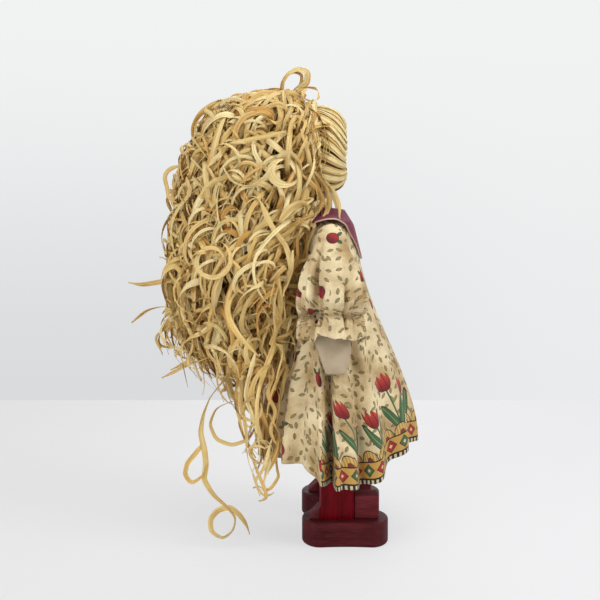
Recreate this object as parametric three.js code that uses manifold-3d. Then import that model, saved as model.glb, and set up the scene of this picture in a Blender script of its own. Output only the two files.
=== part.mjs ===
// A standing wooden folk doll with raffia hair, a gathered smock and a shawl collar.
// Millimetres, +Z up. The doll faces -Y and its right side is -X. Pieces are placed from the middle
// between the legs, and the finished group is moved so that its origin lies on the floor under the
// middle of the whole doll.
import * as THREE from "three";
import { mergeVertices } from "three/addons/utils/BufferGeometryUtils.js";
import Module from "manifold-3d";

const wasm = await Module();
wasm.setup();

// Clearance between separate pieces that touch on the real doll
const fitGap = 0.3;

// How finely round forms are drawn
const barFacets = 16;
const roundFacets = 20;
const faceFacets = 24;
const headRows = 12;
const arcSteps = 8;

// Feet, legs and the blocks on the feet
const footLength = 67;
const footWidth = 43;
const footThickness = 19;
const footForward = 6.5;
const footEndDepth = 14;
const footWaist = 1.5;
const footEdge = 1.2;
const legSpacing = 83;
const legWidth = 26;
const legChamfer = 2.6;
const legLength = 100;
const toeBlockLength = 19;
const toeBlockWidth = 19;
const toeBlockHeight = 18;
const heelWedgeLength = 8;
const heelWedgeHeight = 9;
const heelWedgeWidth = 20;

// Torso block
const torsoHeight = 130;
const torsoDepth = 26;
const torsoMiddle = 5;
const torsoEdge = 4;
const shoulderWidth = 64;
const waistWidth = 68;
const waistDrop = 50;
const hipRise = 15;
const shoulderDrop = 10;
const neckSeatWidth = 28;

// Dowels and screws
const neckDowelRadius = 7;
const neckDowelBack = 9.5;
const neckDowelBite = 22;
const legDowelRadius = 4;
const legDowelBite = 16;
const screwShankRadius = 2;
const screwHeadRadius = 4.5;
const screwHeadHeight = 2.6;
const screwTip = 5;
const footScrewBite = 26;
const shoulderScrewBite = 20;
const washerRadius = 5.5;
const washerThickness = 1;

// Head and the raffia laid over it
const headHalfWidth = 30;
const headHalfDepth = 28;
const headHalfHeight = 33;
const headBack = 22;
const neckShow = 22;
const wrapThickness = 5.5;
const wrapFrontOverhang = 3;
const wrapLowerEdge = 33;
const faceHalfWidth = 21;
const faceHalfHeight = 25;
const faceDrop = 4;
const neckRoom = 2;

// Smock: its neck, its shoulders and its hem
const clothThickness = 2;
const neckOpening = 31;
const yokeRise = 13;
const shoulderEase = 8.5;
const bodiceFrontEase = 9;
const bodiceBackEase = 8;
const shoulderLift = 5;
const hemWidth = 156;
const hemFront = 63;
const hemBack = 62;
const hemHeightSide = 50;
const hemHeightFront = 66;
const hemHeightBack = 58;
const foldCount = 10;
const foldDepth = 4.5;
const foldSteps = 6;
const shoulderSquareness = 0.72;
const squarenessFade = 0.5;
const smockRows = [-1, -0.5, -0.12, 0.08, 0.26, 0.45, 0.64, 0.82, 1];

// Collar
const collarThickness = 1.8;
const collarFrontReach = 0.15;
const collarBackReach = 0.27;
const collarSideRise = 0.06;
const neckOvershoot = 0.06;
const collarRows = [0, 0.4, 0.75, 1];
const collarOverhang = 6;
const collarOverhangStart = 0.5;
const collarOverhangPower = 14;
const collarOverhangLift = 3.4;

// Arms, as boards that swing in a plane leaning outwards
const armTilt = THREE.MathUtils.degToRad(13);
const armStandOff = 3;
const armPivotDrop = 17.5;
const armPivotBack = 5;
const armThickness = 9.5;
const armTopRadius = 9;
const wristAlong = 59;
const palmDrop = 17;
const handLength = 26.5;
const handFrontHalf = 14.2;
const handBackHalf = 13.6;
const fingerFrontHalf = 9;
const fingerBackHalf = 4.5;
const handCurveStart = 0.75;
const handCurvePull = 0.23;
const wristFrontInset = 3;
const wristBackInset = 2;

// Sleeves
const sleeveWall = 1.2;
const ruffleWall = 0.9;
const sleeveSquareness = 0.6;
// Each row: its place as a share of the way from pivot to wrist, half width, depth out from the doll and
// share of gather
const sleeveRows = [
  { down: -0.186, half: 5, depth: 14.4, gather: 0 },
  { down: -0.139, half: 8.8, depth: 18, gather: 0 },
  { down: 0, half: 12, depth: 20, gather: 0 },
  { down: 0.16, half: 12.8, depth: 23.5, gather: 0 },
  { down: 0.36, half: 19.8, depth: 27, gather: 0.01 },
  { down: 0.6, half: 22, depth: 27, gather: 0.01 },
  { down: 0.85, half: 21.8, depth: 26.2, gather: 0.02 },
];
const wristHalf = 18;
const wristDepth = 16;
const cuffHalf = 24;
const cuffDepth = 21;
const cuffLength = 19;
const tieRadius = 0.9;
const tieFacets = 5;
const tieFlare = 1.06;
const tieFlareReach = 2.7;
const tieGather = 0.03;
const ruffleGather = 0.04;
const gatherCount = 7;
const gatherSteps = 4;

// Hair hanks: a fountain of raffia from the crown, opened into sectors round the back
const hankCount = 9;
const hankSweep = THREE.MathUtils.degToRad(264);
const hankGap = THREE.MathUtils.degToRad(3.5);
const hankThickness = 5;
const hankBulge = 3;
const crownBack = 36;
const crownRadius = 12.5;
const knotRadius = 11.8;
const knotHeight = 7;
const knotTopShare = 0.7;
const hankShares = [0, 0.25, 0.5, 0.75, 1];
const hankEndShare = 0.6;
// The ring just outside the crown, with its rise above it
const hairCrest = { rise: 3, back: 48, halfWidth: 32, halfDepth: 30, lean: 12 };
// Each row: height, middle behind the legs, half width, half depth and how far the surface leans
const hairStations = [
  { height: 332, back: 62, halfWidth: 50, halfDepth: 46, lean: 45 },
  { height: 290, back: 70, halfWidth: 58, halfDepth: 52, lean: 90 },
  { height: 220, back: 72, halfWidth: 60, halfDepth: 53, lean: 90 },
  { height: 160, back: 72, halfWidth: 58, halfDepth: 50, lean: 90 },
  { height: 110, back: 75, halfWidth: 61, halfDepth: 44, lean: 90 },
  { height: 45, back: 74, halfWidth: 63, halfDepth: 34, lean: 90 },
];
// Height of each hank's lower end, from the right front round the back to the left front
const hankEnds = [108, 46, 98, 120, 126, 120, 102, 60, 108];

// Single ribbons of raffia that stand off the mass
const ribbonWidth = 4;
const ribbonThickness = 1;
const loopSteps = 28;
const curlSteps = 48;
const wispSteps = 12;
const sideHank = 1;
const backHank = 3;
const curlHeight = 118;
const upperWispHeight = 199;
const lowerWispHeight = 172;

// Finishes, as they look in daylight
const finishes = {
  paintedWood: { color: 0x5c1420, roughness: 0.45, metalness: 0 },
  bareWood: { color: 0xc9a877, roughness: 0.7, metalness: 0 },
  fleshPaint: { color: 0xc9b497, roughness: 0.6, metalness: 0 },
  steel: { color: 0x9a9a9c, roughness: 0.35, metalness: 1 },
  smockCotton: { color: 0xc8b484, roughness: 0.9, metalness: 0 },
  collarCotton: { color: 0x641a30, roughness: 0.85, metalness: 0 },
  thread: { color: 0xb9a578, roughness: 0.9, metalness: 0 },
  raffia: { color: 0xc9ab72, roughness: 0.65, metalness: 0 },
};

// Heights and places that follow from the sizes above
const legTop = footThickness + fitGap + legLength;
const torsoBottom = legTop + fitGap;
const hipWidth = legSpacing + legWidth;
const torsoTop = torsoBottom + torsoHeight;
const shoulderCorner = torsoTop - shoulderDrop;
const headMiddle = torsoTop + neckShow + headHalfHeight;
const smockShoulder = shoulderCorner + shoulderLift;
const smockShoulderHalf = shoulderWidth / 2 + shoulderEase;
const bodiceFront = torsoDepth / 2 - torsoMiddle + bodiceFrontEase;
const bodiceBack = torsoDepth / 2 + torsoMiddle + bodiceBackEase;
const armPlane = smockShoulderHalf + armStandOff;
const armPivotHeight = torsoTop - armPivotDrop;
const armInset = sleeveWall + fitGap;
const armOuterFace = armInset + armThickness;
const handAlong = wristAlong + palmDrop;
const armLength = handAlong + handLength;
const hairTop = headMiddle + headHalfHeight + wrapThickness + 2 * fitGap + hankThickness;
const sides = [["right", -1], ["left", 1]];
const doll = new THREE.Group();

// The same triangles with every face pointing out of the body.
function facingOut(geometry) {
  const place = geometry.attributes.position;
  const faces = geometry.index.array;
  const corner = [new THREE.Vector3(), new THREE.Vector3(), new THREE.Vector3()];
  let volume = 0;
  for (let i = 0; i < faces.length; i += 3) {
    corner.forEach((point, k) => point.fromBufferAttribute(place, faces[i + k]));
    volume += corner[0].dot(corner[1].clone().cross(corner[2]));
  }
  if (volume < 0) {
    for (let i = 0; i < faces.length; i += 3) {
      [faces[i], faces[i + 1]] = [faces[i + 1], faces[i]];
    }
  }
  return geometry;
}

// A geometry whose shared corners are one vertex each, without the triangles that this empties.
function welded(geometry) {
  const bare = geometry.clone();
  bare.deleteAttribute("normal");
  bare.deleteAttribute("uv");
  const joined = mergeVertices(bare, 1e-3);
  const corners = joined.index.array;
  const kept = [];
  for (let i = 0; i < corners.length; i += 3) {
    const [a, b, c] = corners.slice(i, i + 3);
    if (a !== b && b !== c && c !== a) kept.push(a, b, c);
  }
  joined.setIndex(kept);
  return facingOut(joined);
}

// A closed geometry as a solid that can be joined and cut.
function solidOf(geometry) {
  const mesh = welded(geometry);
  return new wasm.Manifold(new wasm.Mesh({
    numProp: 3,
    vertProperties: new Float32Array(mesh.attributes.position.array),
    triVerts: new Uint32Array(mesh.index.array),
  }));
}

// The geometry of a solid that has been joined and cut.
function geometryOf(solid) {
  const mesh = solid.getMesh();
  const geometry = new THREE.BufferGeometry();
  geometry.setAttribute("position", new THREE.BufferAttribute(new Float32Array(mesh.vertProperties), 3));
  geometry.setIndex(new THREE.BufferAttribute(new Uint32Array(mesh.triVerts), 1));
  return geometry;
}

// One geometry with others cut out of it.
function cut(geometry, ...cutters) {
  return geometryOf(cutters.reduce((solid, cutter) => solid.subtract(solidOf(cutter)), solidOf(geometry)));
}

// A skin over a row of rings. An open row is filled at both ends, a closed one joins up with itself.
function loft(rings, closed = false) {
  const count = rings[0].length;
  const points = rings.flat();
  const faces = [];
  const rows = closed ? rings.length : rings.length - 1;
  for (let row = 0; row < rows; row += 1) {
    const here = row * count;
    const next = ((row + 1) % rings.length) * count;
    for (let i = 0; i < count; i += 1) {
      const j = (i + 1) % count;
      faces.push(here + i, here + j, next + i, here + j, next + j, next + i);
    }
  }
  if (!closed) {
    for (const row of [0, rings.length - 1]) {
      const middle = new THREE.Vector3();
      rings[row].forEach((point) => middle.addScaledVector(point, 1 / count));
      points.push(middle);
      for (let i = 0; i < count; i += 1) {
        const pair = [row * count + i, row * count + ((i + 1) % count)];
        faces.push(points.length - 1, ...(row === 0 ? pair.reverse() : pair));
      }
    }
  }
  const geometry = new THREE.BufferGeometry().setFromPoints(points);
  geometry.setIndex(faces);
  return facingOut(geometry);
}

// A round bar between two points.
function rod(start, end, radius, facets = barFacets) {
  const along = end.clone().sub(start);
  const geometry = new THREE.CylinderGeometry(radius, radius, along.length(), facets);
  const upright = new THREE.Vector3(0, 1, 0);
  geometry.applyQuaternion(new THREE.Quaternion().setFromUnitVectors(upright, along.normalize()));
  const middle = start.clone().lerp(end, 0.5);
  return geometry.translate(middle.x, middle.y, middle.z);
}

// A piece turned on a lathe about the vertical, from rows of radius and height.
function turned(profile, facets = barFacets) {
  const geometry = new THREE.LatheGeometry(profile.map(([r, h]) => new THREE.Vector2(r, h)), facets);
  return geometry.rotateX(Math.PI / 2);
}

// A board cut to an outline, with its edges rounded over.
function board(outline, thickness, edge, steps = 1) {
  const geometry = new THREE.ExtrudeGeometry(outline, {
    depth: thickness - 2 * edge,
    bevelThickness: edge,
    bevelSize: edge,
    bevelOffset: -edge,
    bevelSegments: steps,
    curveSegments: arcSteps,
  });
  return geometry.translate(0, 0, edge);
}

// A ball stretched to three half sizes.
function egg(halfWidth, halfDepth, halfHeight) {
  const ball = new THREE.SphereGeometry(1, roundFacets, headRows).rotateX(Math.PI / 2);
  return ball.scale(halfWidth, halfDepth, halfHeight);
}

// Adds one named piece with a material of its own.
function addPiece(name, geometry, finish, parent = doll) {
  const mesh = new THREE.Mesh(welded(geometry), new THREE.MeshStandardMaterial(finishes[finish]));
  mesh.name = name;
  parent.add(mesh);
}

// Foot board: round ends, sides drawn in a little, and the screw's countersunk hole.
function footGeometry() {
  const half = footWidth / 2;
  const straight = footLength / 2 - footEndDepth;
  const outline = new THREE.Shape();
  outline.moveTo(half, straight);
  outline.quadraticCurveTo(half - 2 * footWaist, 0, half, -straight);
  outline.absellipse(0, -straight, half, footEndDepth, 0, -Math.PI, true);
  outline.quadraticCurveTo(-half + 2 * footWaist, 0, -half, straight);
  outline.absellipse(0, straight, half, footEndDepth, Math.PI, 0, true);
  const plank = board(outline, footThickness, footEdge).translate(0, -footForward, 0);
  return cut(plank, footScrewGeometry(fitGap));
}

// Countersunk screw up through the foot into the leg, or the hole for it when it is given room.
function footScrewGeometry(room = 0) {
  const head = screwHeadRadius + room;
  const shank = screwShankRadius + room;
  const top = footThickness + footScrewBite + room;
  const sunk = room > 0 ? -fitGap : fitGap;
  return turned([[0, sunk], [head, sunk], [head, fitGap], [shank, screwHeadHeight + fitGap],
    [shank, top - screwTip], [0, top]]);
}

// Leg post: square with its corners taken off, bored for the screw below and the dowel above.
function legGeometry() {
  const half = legWidth / 2;
  const flat = half - legChamfer;
  const outline = new THREE.Shape([[half, flat], [flat, half], [-flat, half], [-half, flat],
    [-half, -flat], [-flat, -half], [flat, -half], [half, -flat]].map(([x, y]) => new THREE.Vector2(x, y)));
  const post = new THREE.ExtrudeGeometry(outline, { depth: legLength, bevelEnabled: false });
  post.translate(0, 0, footThickness + fitGap);
  return cut(post, footScrewGeometry(fitGap), legDowelGeometry(fitGap));
}

// Dowel between leg and torso, or the hole for it.
function legDowelGeometry(room = 0) {
  const start = new THREE.Vector3(0, 0, legTop - legDowelBite - room);
  return rod(start, new THREE.Vector3(0, 0, torsoBottom + legDowelBite + room), legDowelRadius + room);
}

// Small fillet glued into the corner behind the leg.
function heelWedgeGeometry() {
  const outline = new THREE.Shape();
  outline.moveTo(0, 0);
  outline.lineTo(heelWedgeLength, 0);
  outline.lineTo(0, heelWedgeHeight);
  const wedge = new THREE.ExtrudeGeometry(outline, { depth: heelWedgeWidth, bevelEnabled: false });
  const seat = new THREE.Matrix4().makeBasis(
    new THREE.Vector3(0, 1, 0), new THREE.Vector3(0, 0, 1), new THREE.Vector3(1, 0, 0));
  wedge.applyMatrix4(seat);
  return wedge.translate(-heelWedgeWidth / 2, legWidth / 2 + fitGap, footThickness + fitGap);
}

// Block on the foot in front of the leg.
function toeBlockGeometry() {
  const block = new THREE.BoxGeometry(toeBlockWidth, toeBlockLength, toeBlockHeight);
  const front = -(legWidth / 2 + fitGap + toeBlockLength / 2);
  return block.translate(0, front, footThickness + fitGap + toeBlockHeight / 2);
}

// Dowel between torso and head, or the hole for it.
function neckDowelGeometry(room = 0) {
  const start = new THREE.Vector3(0, neckDowelBack, torsoTop - neckDowelBite - room);
  const end = new THREE.Vector3(0, neckDowelBack, torsoTop + neckShow + neckDowelBite + room);
  return rod(start, end, neckDowelRadius + room, roundFacets);
}

// Torso: a block that widens below the waist, with sloping shoulders and every hole it needs.
function torsoGeometry() {
  const edge = [[hipWidth / 2, torsoBottom], [hipWidth / 2, torsoBottom + hipRise],
    [waistWidth / 2, shoulderCorner - waistDrop], [shoulderWidth / 2, shoulderCorner],
    [neckSeatWidth / 2, torsoTop]];
  const farEdge = edge.map(([x, z]) => [-x, z]).reverse();
  const outline = new THREE.Shape([...edge, ...farEdge].map(([x, z]) => new THREE.Vector2(x, z)));
  const block = board(outline, torsoDepth, torsoEdge, 2).rotateX(Math.PI / 2);
  block.translate(0, torsoMiddle + torsoDepth / 2, 0);
  const holes = sides.flatMap(([, side]) => [
    legDowelGeometry(fitGap).translate(side * legSpacing / 2, 0, 0),
    shoulderBore(side, fitGap),
  ]);
  return cut(block, neckDowelGeometry(fitGap), ...holes);
}

// The head's ball with a layer of some thickness round it.
function roundHead(layer) {
  const ball = egg(headHalfWidth + layer, headHalfDepth + layer, headHalfHeight + layer);
  return ball.translate(0, headBack, headMiddle);
}

// Head: a turned ball, a little narrower from front to back, bored for the neck.
function headGeometry() {
  return cut(roundHead(0), neckDowelGeometry(fitGap));
}

// Raffia wrap: a hood over the head, cut flat in front, open at the face and below.
function hairWrapGeometry() {
  const hood = roundHead(wrapThickness);
  const inside = roundHead(fitGap);
  const faceRoom = new THREE.CylinderGeometry(1, 1, headHalfDepth * 2, faceFacets);
  faceRoom.scale(faceHalfWidth, 1, faceHalfHeight);
  faceRoom.translate(0, headBack - headHalfDepth, headMiddle - faceDrop);
  const room = 4 * headHalfWidth;
  const front = new THREE.BoxGeometry(room, room, room);
  front.translate(0, headBack - headHalfDepth - wrapFrontOverhang - room / 2, headMiddle);
  const below = new THREE.BoxGeometry(room, room, room);
  below.translate(0, headBack, headMiddle - wrapLowerEdge - room / 2);
  return cut(hood, inside, faceRoom, front, below, neckDowelGeometry(neckRoom));
}

// Height of the hem, which rises in front and a little behind.
function hemHeight(angle) {
  const toFront = Math.max(Math.cos(angle), 0) ** 2;
  const toBack = Math.max(-Math.cos(angle), 0) ** 2;
  const frontRise = (hemHeightFront - hemHeightSide) * toFront;
  const backRise = (hemHeightBack - hemHeightSide) * toBack;
  return hemHeightSide + frontRise + backRise;
}

// A point on the smock. The angle turns from the front over the left side. Along runs from -1 at the
// neck over 0 at the shoulder to 1 at the hem, where the cloth hangs in folds.
function smockPoint(angle, along) {
  const mix = THREE.MathUtils.lerp;
  const spread = along < 0 ? -along : THREE.MathUtils.smoothstep(along, 0, 1);
  const neckHalf = neckOpening / 2;
  const [half, front, back] = along < 0
    ? [neckHalf, neckHalf - neckDowelBack, neckHalf + neckDowelBack]
    : [hemWidth / 2, hemFront, hemBack];
  const across = mix(smockShoulderHalf, half, spread);
  const ahead = mix(bodiceFront, front, spread);
  const behind = mix(bodiceBack, back, spread);
  const square = mix(shoulderSquareness, 1, Math.min(1, Math.abs(along) / squarenessFade));
  const height = along < 0
    ? smockShoulder - along * yokeRise
    : mix(smockShoulder, hemHeight(angle), along);
  const fold = foldDepth * Math.max(along, 0) ** 2 * Math.cos(foldCount * angle);
  const rounded = (value) => Math.sign(value) * Math.abs(value) ** square;
  return new THREE.Vector3(
    (across + fold) * rounded(Math.sin(angle)),
    (behind - ahead) / 2 - ((ahead + behind) / 2 + fold) * rounded(Math.cos(angle)),
    height,
  );
}

// A point on the smock moved out from its surface.
function offSmock(angle, along, distance) {
  const step = 0.01;
  const round = smockPoint(angle + step, along).sub(smockPoint(angle - step, along));
  const down = smockPoint(angle, along + step).sub(smockPoint(angle, along - step));
  return smockPoint(angle, along).addScaledVector(down.cross(round).normalize(), distance);
}

// A cloth wall between two skins, open at its upper and lower rim.
function clothWall(rows, outer, inner) {
  const rings = smockAngles().map((angle) => {
    const down = rows.map((row) => outer(angle, row));
    return [...down, ...rows.toReversed().map((row) => inner(angle, row))];
  });
  return loft(rings, true);
}

// The angles round the smock at which its skin is drawn, turned on by a share of one step.
function smockAngles(turn = 0) {
  const count = foldCount * foldSteps;
  return Array.from({ length: count }, (_, i) => (2 * Math.PI * (i + turn)) / count);
}

// The room that the smock takes up as a filled body, with the fit clearance round it. It stands past
// the neck and is drawn between the smock's own lines, so that a cut by it is clean.
function smockRoom() {
  const rows = smockRows.map((row) => (row === -1 ? row - neckOvershoot : row));
  return loft(rows.map((row) => smockAngles(0.5).map((angle) => offSmock(angle, row, fitGap))));
}

// Smock: one wall of cloth from neck to hem, pierced by the shoulder screws.
function dressGeometry() {
  const wall = clothWall(smockRows,
    (angle, row) => smockPoint(angle, row),
    (angle, row) => offSmock(angle, row, -clothThickness));
  return cut(wall, ...sides.map(([, side]) => shoulderBore(side, 2 * fitGap)));
}

// Collar: lies on the smock, with a point in front and behind and its edge standing over the sleeves.
function collarGeometry() {
  const reach = (angle) => {
    const front = Math.max(Math.cos(angle), 0) ** 2 * collarFrontReach;
    const back = Math.max(-Math.cos(angle), 0) ** 2 * collarBackReach;
    return front + back - collarSideRise * Math.sin(angle) ** 2;
  };
  const skin = (distance) => (angle, row) => {
    const along = -1 + row * (1 + reach(angle));
    const point = offSmock(angle, along, distance);
    const towardsRim = THREE.MathUtils.smoothstep(row, collarOverhangStart, 1);
    const stand = Math.sin(angle) ** collarOverhangPower * towardsRim;
    point.x += Math.sign(Math.sin(angle)) * collarOverhang * stand;
    point.z += collarOverhangLift * stand;
    return point;
  };
  const wall = clothWall(collarRows, skin(fitGap + collarThickness), skin(-collarThickness));
  return cut(wall, smockRoom());
}

// The leaning plane in which one arm swings: X out from the doll, -Z down the arm.
function armFrame(side) {
  const frame = new THREE.Group();
  frame.position.set(side * armPlane, armPivotBack, armPivotHeight);
  frame.rotation.y = -side * armTilt;
  frame.scale.x = side;
  frame.updateMatrixWorld();
  return frame;
}

// The straight hole that a shoulder screw needs in the torso and the smock.
function shoulderBore(side, room) {
  const frame = armFrame(side);
  const tip = new THREE.Vector3(-armPlane + shoulderWidth / 2 - shoulderScrewBite - room, 0, 0);
  const end = new THREE.Vector3(armInset, 0, 0);
  return rod(frame.localToWorld(tip), frame.localToWorld(end), screwShankRadius + room);
}

// Shoulder screw, lying along X with its round head outside the washer.
function shoulderScrewGeometry(room = 0) {
  const tip = -armPlane + shoulderWidth / 2 - shoulderScrewBite - room;
  const seat = armOuterFace + 2 * fitGap + washerThickness - room;
  const head = screwHeadRadius + room;
  const shank = screwShankRadius + room;
  const crown = seat + screwHeadHeight + 2 * room;
  const screw = turned([[0, tip], [shank, tip + screwTip], [shank, seat], [head, seat],
    [head, (seat + crown) / 2], [0, crown]]);
  return screw.rotateY(Math.PI / 2);
}

// Washer between the arm and the screw's head, or the pocket for it.
function washerGeometry(room = 0) {
  const inner = armOuterFace + fitGap - room;
  const disc = new THREE.CylinderGeometry(washerRadius + room, washerRadius + room,
    washerThickness + 2 * room, roundFacets);
  return disc.rotateZ(Math.PI / 2).translate(inner + washerThickness / 2 + room, 0, 0);
}

// Outline of the arm board, seen from its side: round at the shoulder, widening to a mitten hand.
function armOutline(room = 0) {
  const top = armTopRadius + room;
  const outline = new THREE.Shape();
  outline.moveTo(top, 0);
  outline.absarc(0, 0, top, 0, Math.PI, false);
  outline.lineTo(-handFrontHalf + wristFrontInset - room, -wristAlong);
  outline.lineTo(-handFrontHalf - room, -handAlong);
  outline.lineTo(-handFrontHalf - room, -armLength + handLength * handCurveStart);
  outline.quadraticCurveTo(-handFrontHalf - room, -armLength + handLength * handCurvePull,
    -fingerFrontHalf - room, -armLength - room);
  outline.lineTo(fingerBackHalf + room, -armLength - room);
  outline.lineTo(handBackHalf + room, -handAlong);
  outline.lineTo(handBackHalf - wristBackInset + room, -wristAlong);
  return outline;
}

// A slab of the arm's outline between two depths.
function armSlab(room) {
  const slab = new THREE.ExtrudeGeometry(armOutline(room), {
    depth: armThickness + 2 * room, bevelEnabled: false, curveSegments: arcSteps,
  });
  slab.applyMatrix4(new THREE.Matrix4().makeBasis(
    new THREE.Vector3(0, 1, 0), new THREE.Vector3(0, 0, 1), new THREE.Vector3(1, 0, 0)));
  return slab.translate(armInset - room, 0, 0);
}

// Arm board with the hole that turns on the shoulder screw.
function armGeometry() {
  return cut(armSlab(0), shoulderScrewGeometry(fitGap));
}

// One round of the sleeve: flat against the doll and full on the outside, with small gathers.
function sleeveRing(along, half, depth, gather, grow = 0) {
  const count = gatherCount * gatherSteps;
  return Array.from({ length: count }, (_, i) => {
    const angle = (2 * Math.PI * i) / count;
    const outside = 2 * i > 0 && 2 * i < count;
    const ripple = outside ? 1 + gather * Math.cos(gatherCount * angle) : 1;
    const soft = (value) => Math.sign(value) * Math.abs(value) ** sleeveSquareness;
    return new THREE.Vector3(
      outside ? (depth * ripple + grow) * soft(Math.sin(angle)) : -grow,
      (half * ripple + grow) * soft(Math.cos(angle)),
      -along,
    );
  });
}

// Sleeve: puffed cotton round the arm, drawn in at the wrist, with a hollow ruffle below.
function sleeveGeometry() {
  const mouth = wristAlong + cuffLength;
  const flared = [wristHalf * tieFlare, wristDepth * tieFlare, tieGather];
  const rings = [
    ...sleeveRows.map((row) => sleeveRing(wristAlong * row.down, row.half, row.depth, row.gather)),
    sleeveRing(wristAlong - tieFlareReach, ...flared),
    sleeveRing(wristAlong, wristHalf, wristDepth, 0),
    sleeveRing(wristAlong + tieFlareReach, ...flared),
    sleeveRing(mouth, cuffHalf, cuffDepth, ruffleGather),
  ];
  const ruffleRoom = loft([
    sleeveRing(wristAlong + tieFlareReach + tieRadius, ...flared, -ruffleWall),
    sleeveRing(mouth, cuffHalf, cuffDepth, ruffleGather, -ruffleWall),
    sleeveRing(mouth + ruffleWall, cuffHalf, cuffDepth, ruffleGather, -ruffleWall),
  ]);
  const fittings = [shoulderScrewGeometry(fitGap), washerGeometry(fitGap)];
  return cut(loft(rings), armSlab(fitGap), ...fittings, ruffleRoom);
}

// Thread drawn round the wrist.
function wristTieGeometry() {
  const stand = fitGap + tieRadius;
  const path = sleeveRing(wristAlong, wristHalf, wristDepth, 0, stand);
  const rings = path.map((point, i) => {
    const before = path[(i + path.length - 1) % path.length];
    const after = path[(i + 1) % path.length];
    const down = new THREE.Vector3(0, 0, 1);
    const out = after.clone().sub(before).cross(down).normalize();
    return Array.from({ length: tieFacets }, (_, k) => {
      const turn = (2 * Math.PI * k) / tieFacets;
      return point.clone().addScaledVector(out, tieRadius * Math.cos(turn))
        .addScaledVector(down, tieRadius * Math.sin(turn));
    });
  });
  return loft(rings, true);
}

// The stations of the hair from the crown down, the first two following the head's top.
function hairProfile() {
  const round = { halfWidth: crownRadius, halfDepth: crownRadius };
  const crown = { height: hairTop, back: crownBack, ...round, lean: 0 };
  const crest = { height: hairTop + hairCrest.rise, ...hairCrest };
  return [crown, crest, ...hairStations];
}

// A point in the hair mass: the angle turns from straight back over the left side, and depth lies
// below the surface.
function hairPoint(angle, station, depth) {
  const lean = THREE.MathUtils.degToRad(station.lean);
  const shrink = depth * Math.sin(lean);
  return new THREE.Vector3(
    (station.halfWidth - shrink) * Math.sin(angle),
    station.back + (station.halfDepth - shrink) * Math.cos(angle),
    station.height - depth * Math.cos(lean),
  );
}

// The hair's station at a height below the crest.
function hairStationAt(height) {
  const below = hairStations.findIndex((station) => station.height <= height);
  const [upper, lower] = [hairStations[below - 1], hairStations[below]];
  const share = (upper.height - height) / (upper.height - lower.height);
  const mixed = (key) => THREE.MathUtils.lerp(upper[key], lower[key], share);
  const round = { halfWidth: mixed("halfWidth"), halfDepth: mixed("halfDepth") };
  return { height, back: mixed("back"), ...round, lean: 90 };
}

// One hank: a sector of the fountain of raffia, a little fuller in its middle.
function hankGeometry(index) {
  const sector = hankSweep / hankCount;
  const from = -hankSweep / 2 + index * sector + hankGap / 2;
  const width = sector - hankGap;
  const end = hairStationAt(hankEnds[index]);
  const stations = [...hairProfile().filter((station) => station.height > end.height), end];
  const rings = stations.map((station) => {
    const thick = hankThickness * (station === end ? hankEndShare : 1);
    const bulge = (share) => (station.lean < 90 ? 0 : hankBulge * Math.sin(Math.PI * share));
    const outer = hankShares.map((share) => hairPoint(from + share * width, station, -bulge(share)));
    const inner = hankShares.toReversed().map((share) => hairPoint(from + share * width, station, thick));
    return [...outer, ...inner];
  });
  return loft(rings);
}

// The tied middle of the raffia on the crown, hollowed below to sit on the wrap.
function crownKnotGeometry() {
  const half = knotHeight / 2;
  const knot = turned([[0, -knotHeight], [knotRadius, -knotHeight], [knotRadius, half],
    [knotRadius * knotTopShare, knotHeight], [0, knotHeight]], roundFacets);
  return cut(knot.translate(0, crownBack, hairTop - hankThickness), roundHead(wrapThickness + fitGap));
}

// A flat ribbon along a smooth path, its width lying as nearly as it can along one direction.
function ribbonGeometry(points, across, steps) {
  const path = new THREE.CatmullRomCurve3(points);
  const rings = Array.from({ length: steps + 1 }, (_, i) => {
    const place = path.getPointAt(i / steps);
    const along = path.getTangentAt(i / steps);
    const face = along.clone().cross(across).normalize();
    const width = face.clone().cross(along);
    return [[1, 1], [-1, 1], [-1, -1], [1, -1]].map(([w, t]) => place.clone()
      .addScaledVector(width, (w * ribbonWidth) / 2)
      .addScaledVector(face, (t * ribbonThickness) / 2));
  });
  return loft(rings);
}

// A ribbon that starts on a hank's surface and runs through places given as steps from its start:
// out to the side, back and up.
function strayRibbon(index, height, stand, steps, across, count) {
  const sector = hankSweep / hankCount;
  const angle = -hankSweep / 2 + (index + 0.5) * sector;
  const start = hairPoint(angle, hairStationAt(height), -hankBulge - fitGap - stand);
  const points = steps.map(([x, y, z]) => start.clone().add(new THREE.Vector3(x, y, z)));
  return ribbonGeometry([start, ...points], across, count);
}

// Loop of raffia that stands up from the crown.
function topLoopGeometry() {
  const seat = hairTop - hankThickness + knotHeight + fitGap + ribbonThickness;
  const points = [[-3, 7, 0], [-4, 7, 8], [-3, 2, 17], [0, -6, 21], [2, -14, 18], [3, -13, 9],
    [3, -5, 3], [3, -1, 0]];
  return ribbonGeometry(points.map(([x, y, z]) => new THREE.Vector3(x, crownBack + y, seat + z)),
    new THREE.Vector3(1, 0, 0), loopSteps);
}

// Curl that trails from the right side down to the floor, with one turn near its end.
function trailingCurlGeometry() {
  const steps = [[-3, 7, -8], [-4, 13, -22], [-3, 11, -38], [-2, 12, -58], [-1, 7, -79], [0, -4, -93],
    [1, -6, -104], [2, 1, -113], [4, 9, -108], [6, 10, -97], [7, 2, -90], [8, -10, -94], [8, -20, -111]];
  const across = new THREE.Vector3(1, 0, 0);
  return strayRibbon(sideHank, curlHeight, ribbonWidth / 2, steps, across, curlSteps);
}

// Wisp that stands out behind at the level of the elbow.
function upperWispGeometry() {
  const steps = [[-1, 10, 3], [-2, 22, 1], [-3, 34, -1], [-4, 44, 1]];
  const across = new THREE.Vector3(0, 0, 1);
  return strayRibbon(backHank, upperWispHeight, ribbonThickness, steps, across, wispSteps);
}

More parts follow.
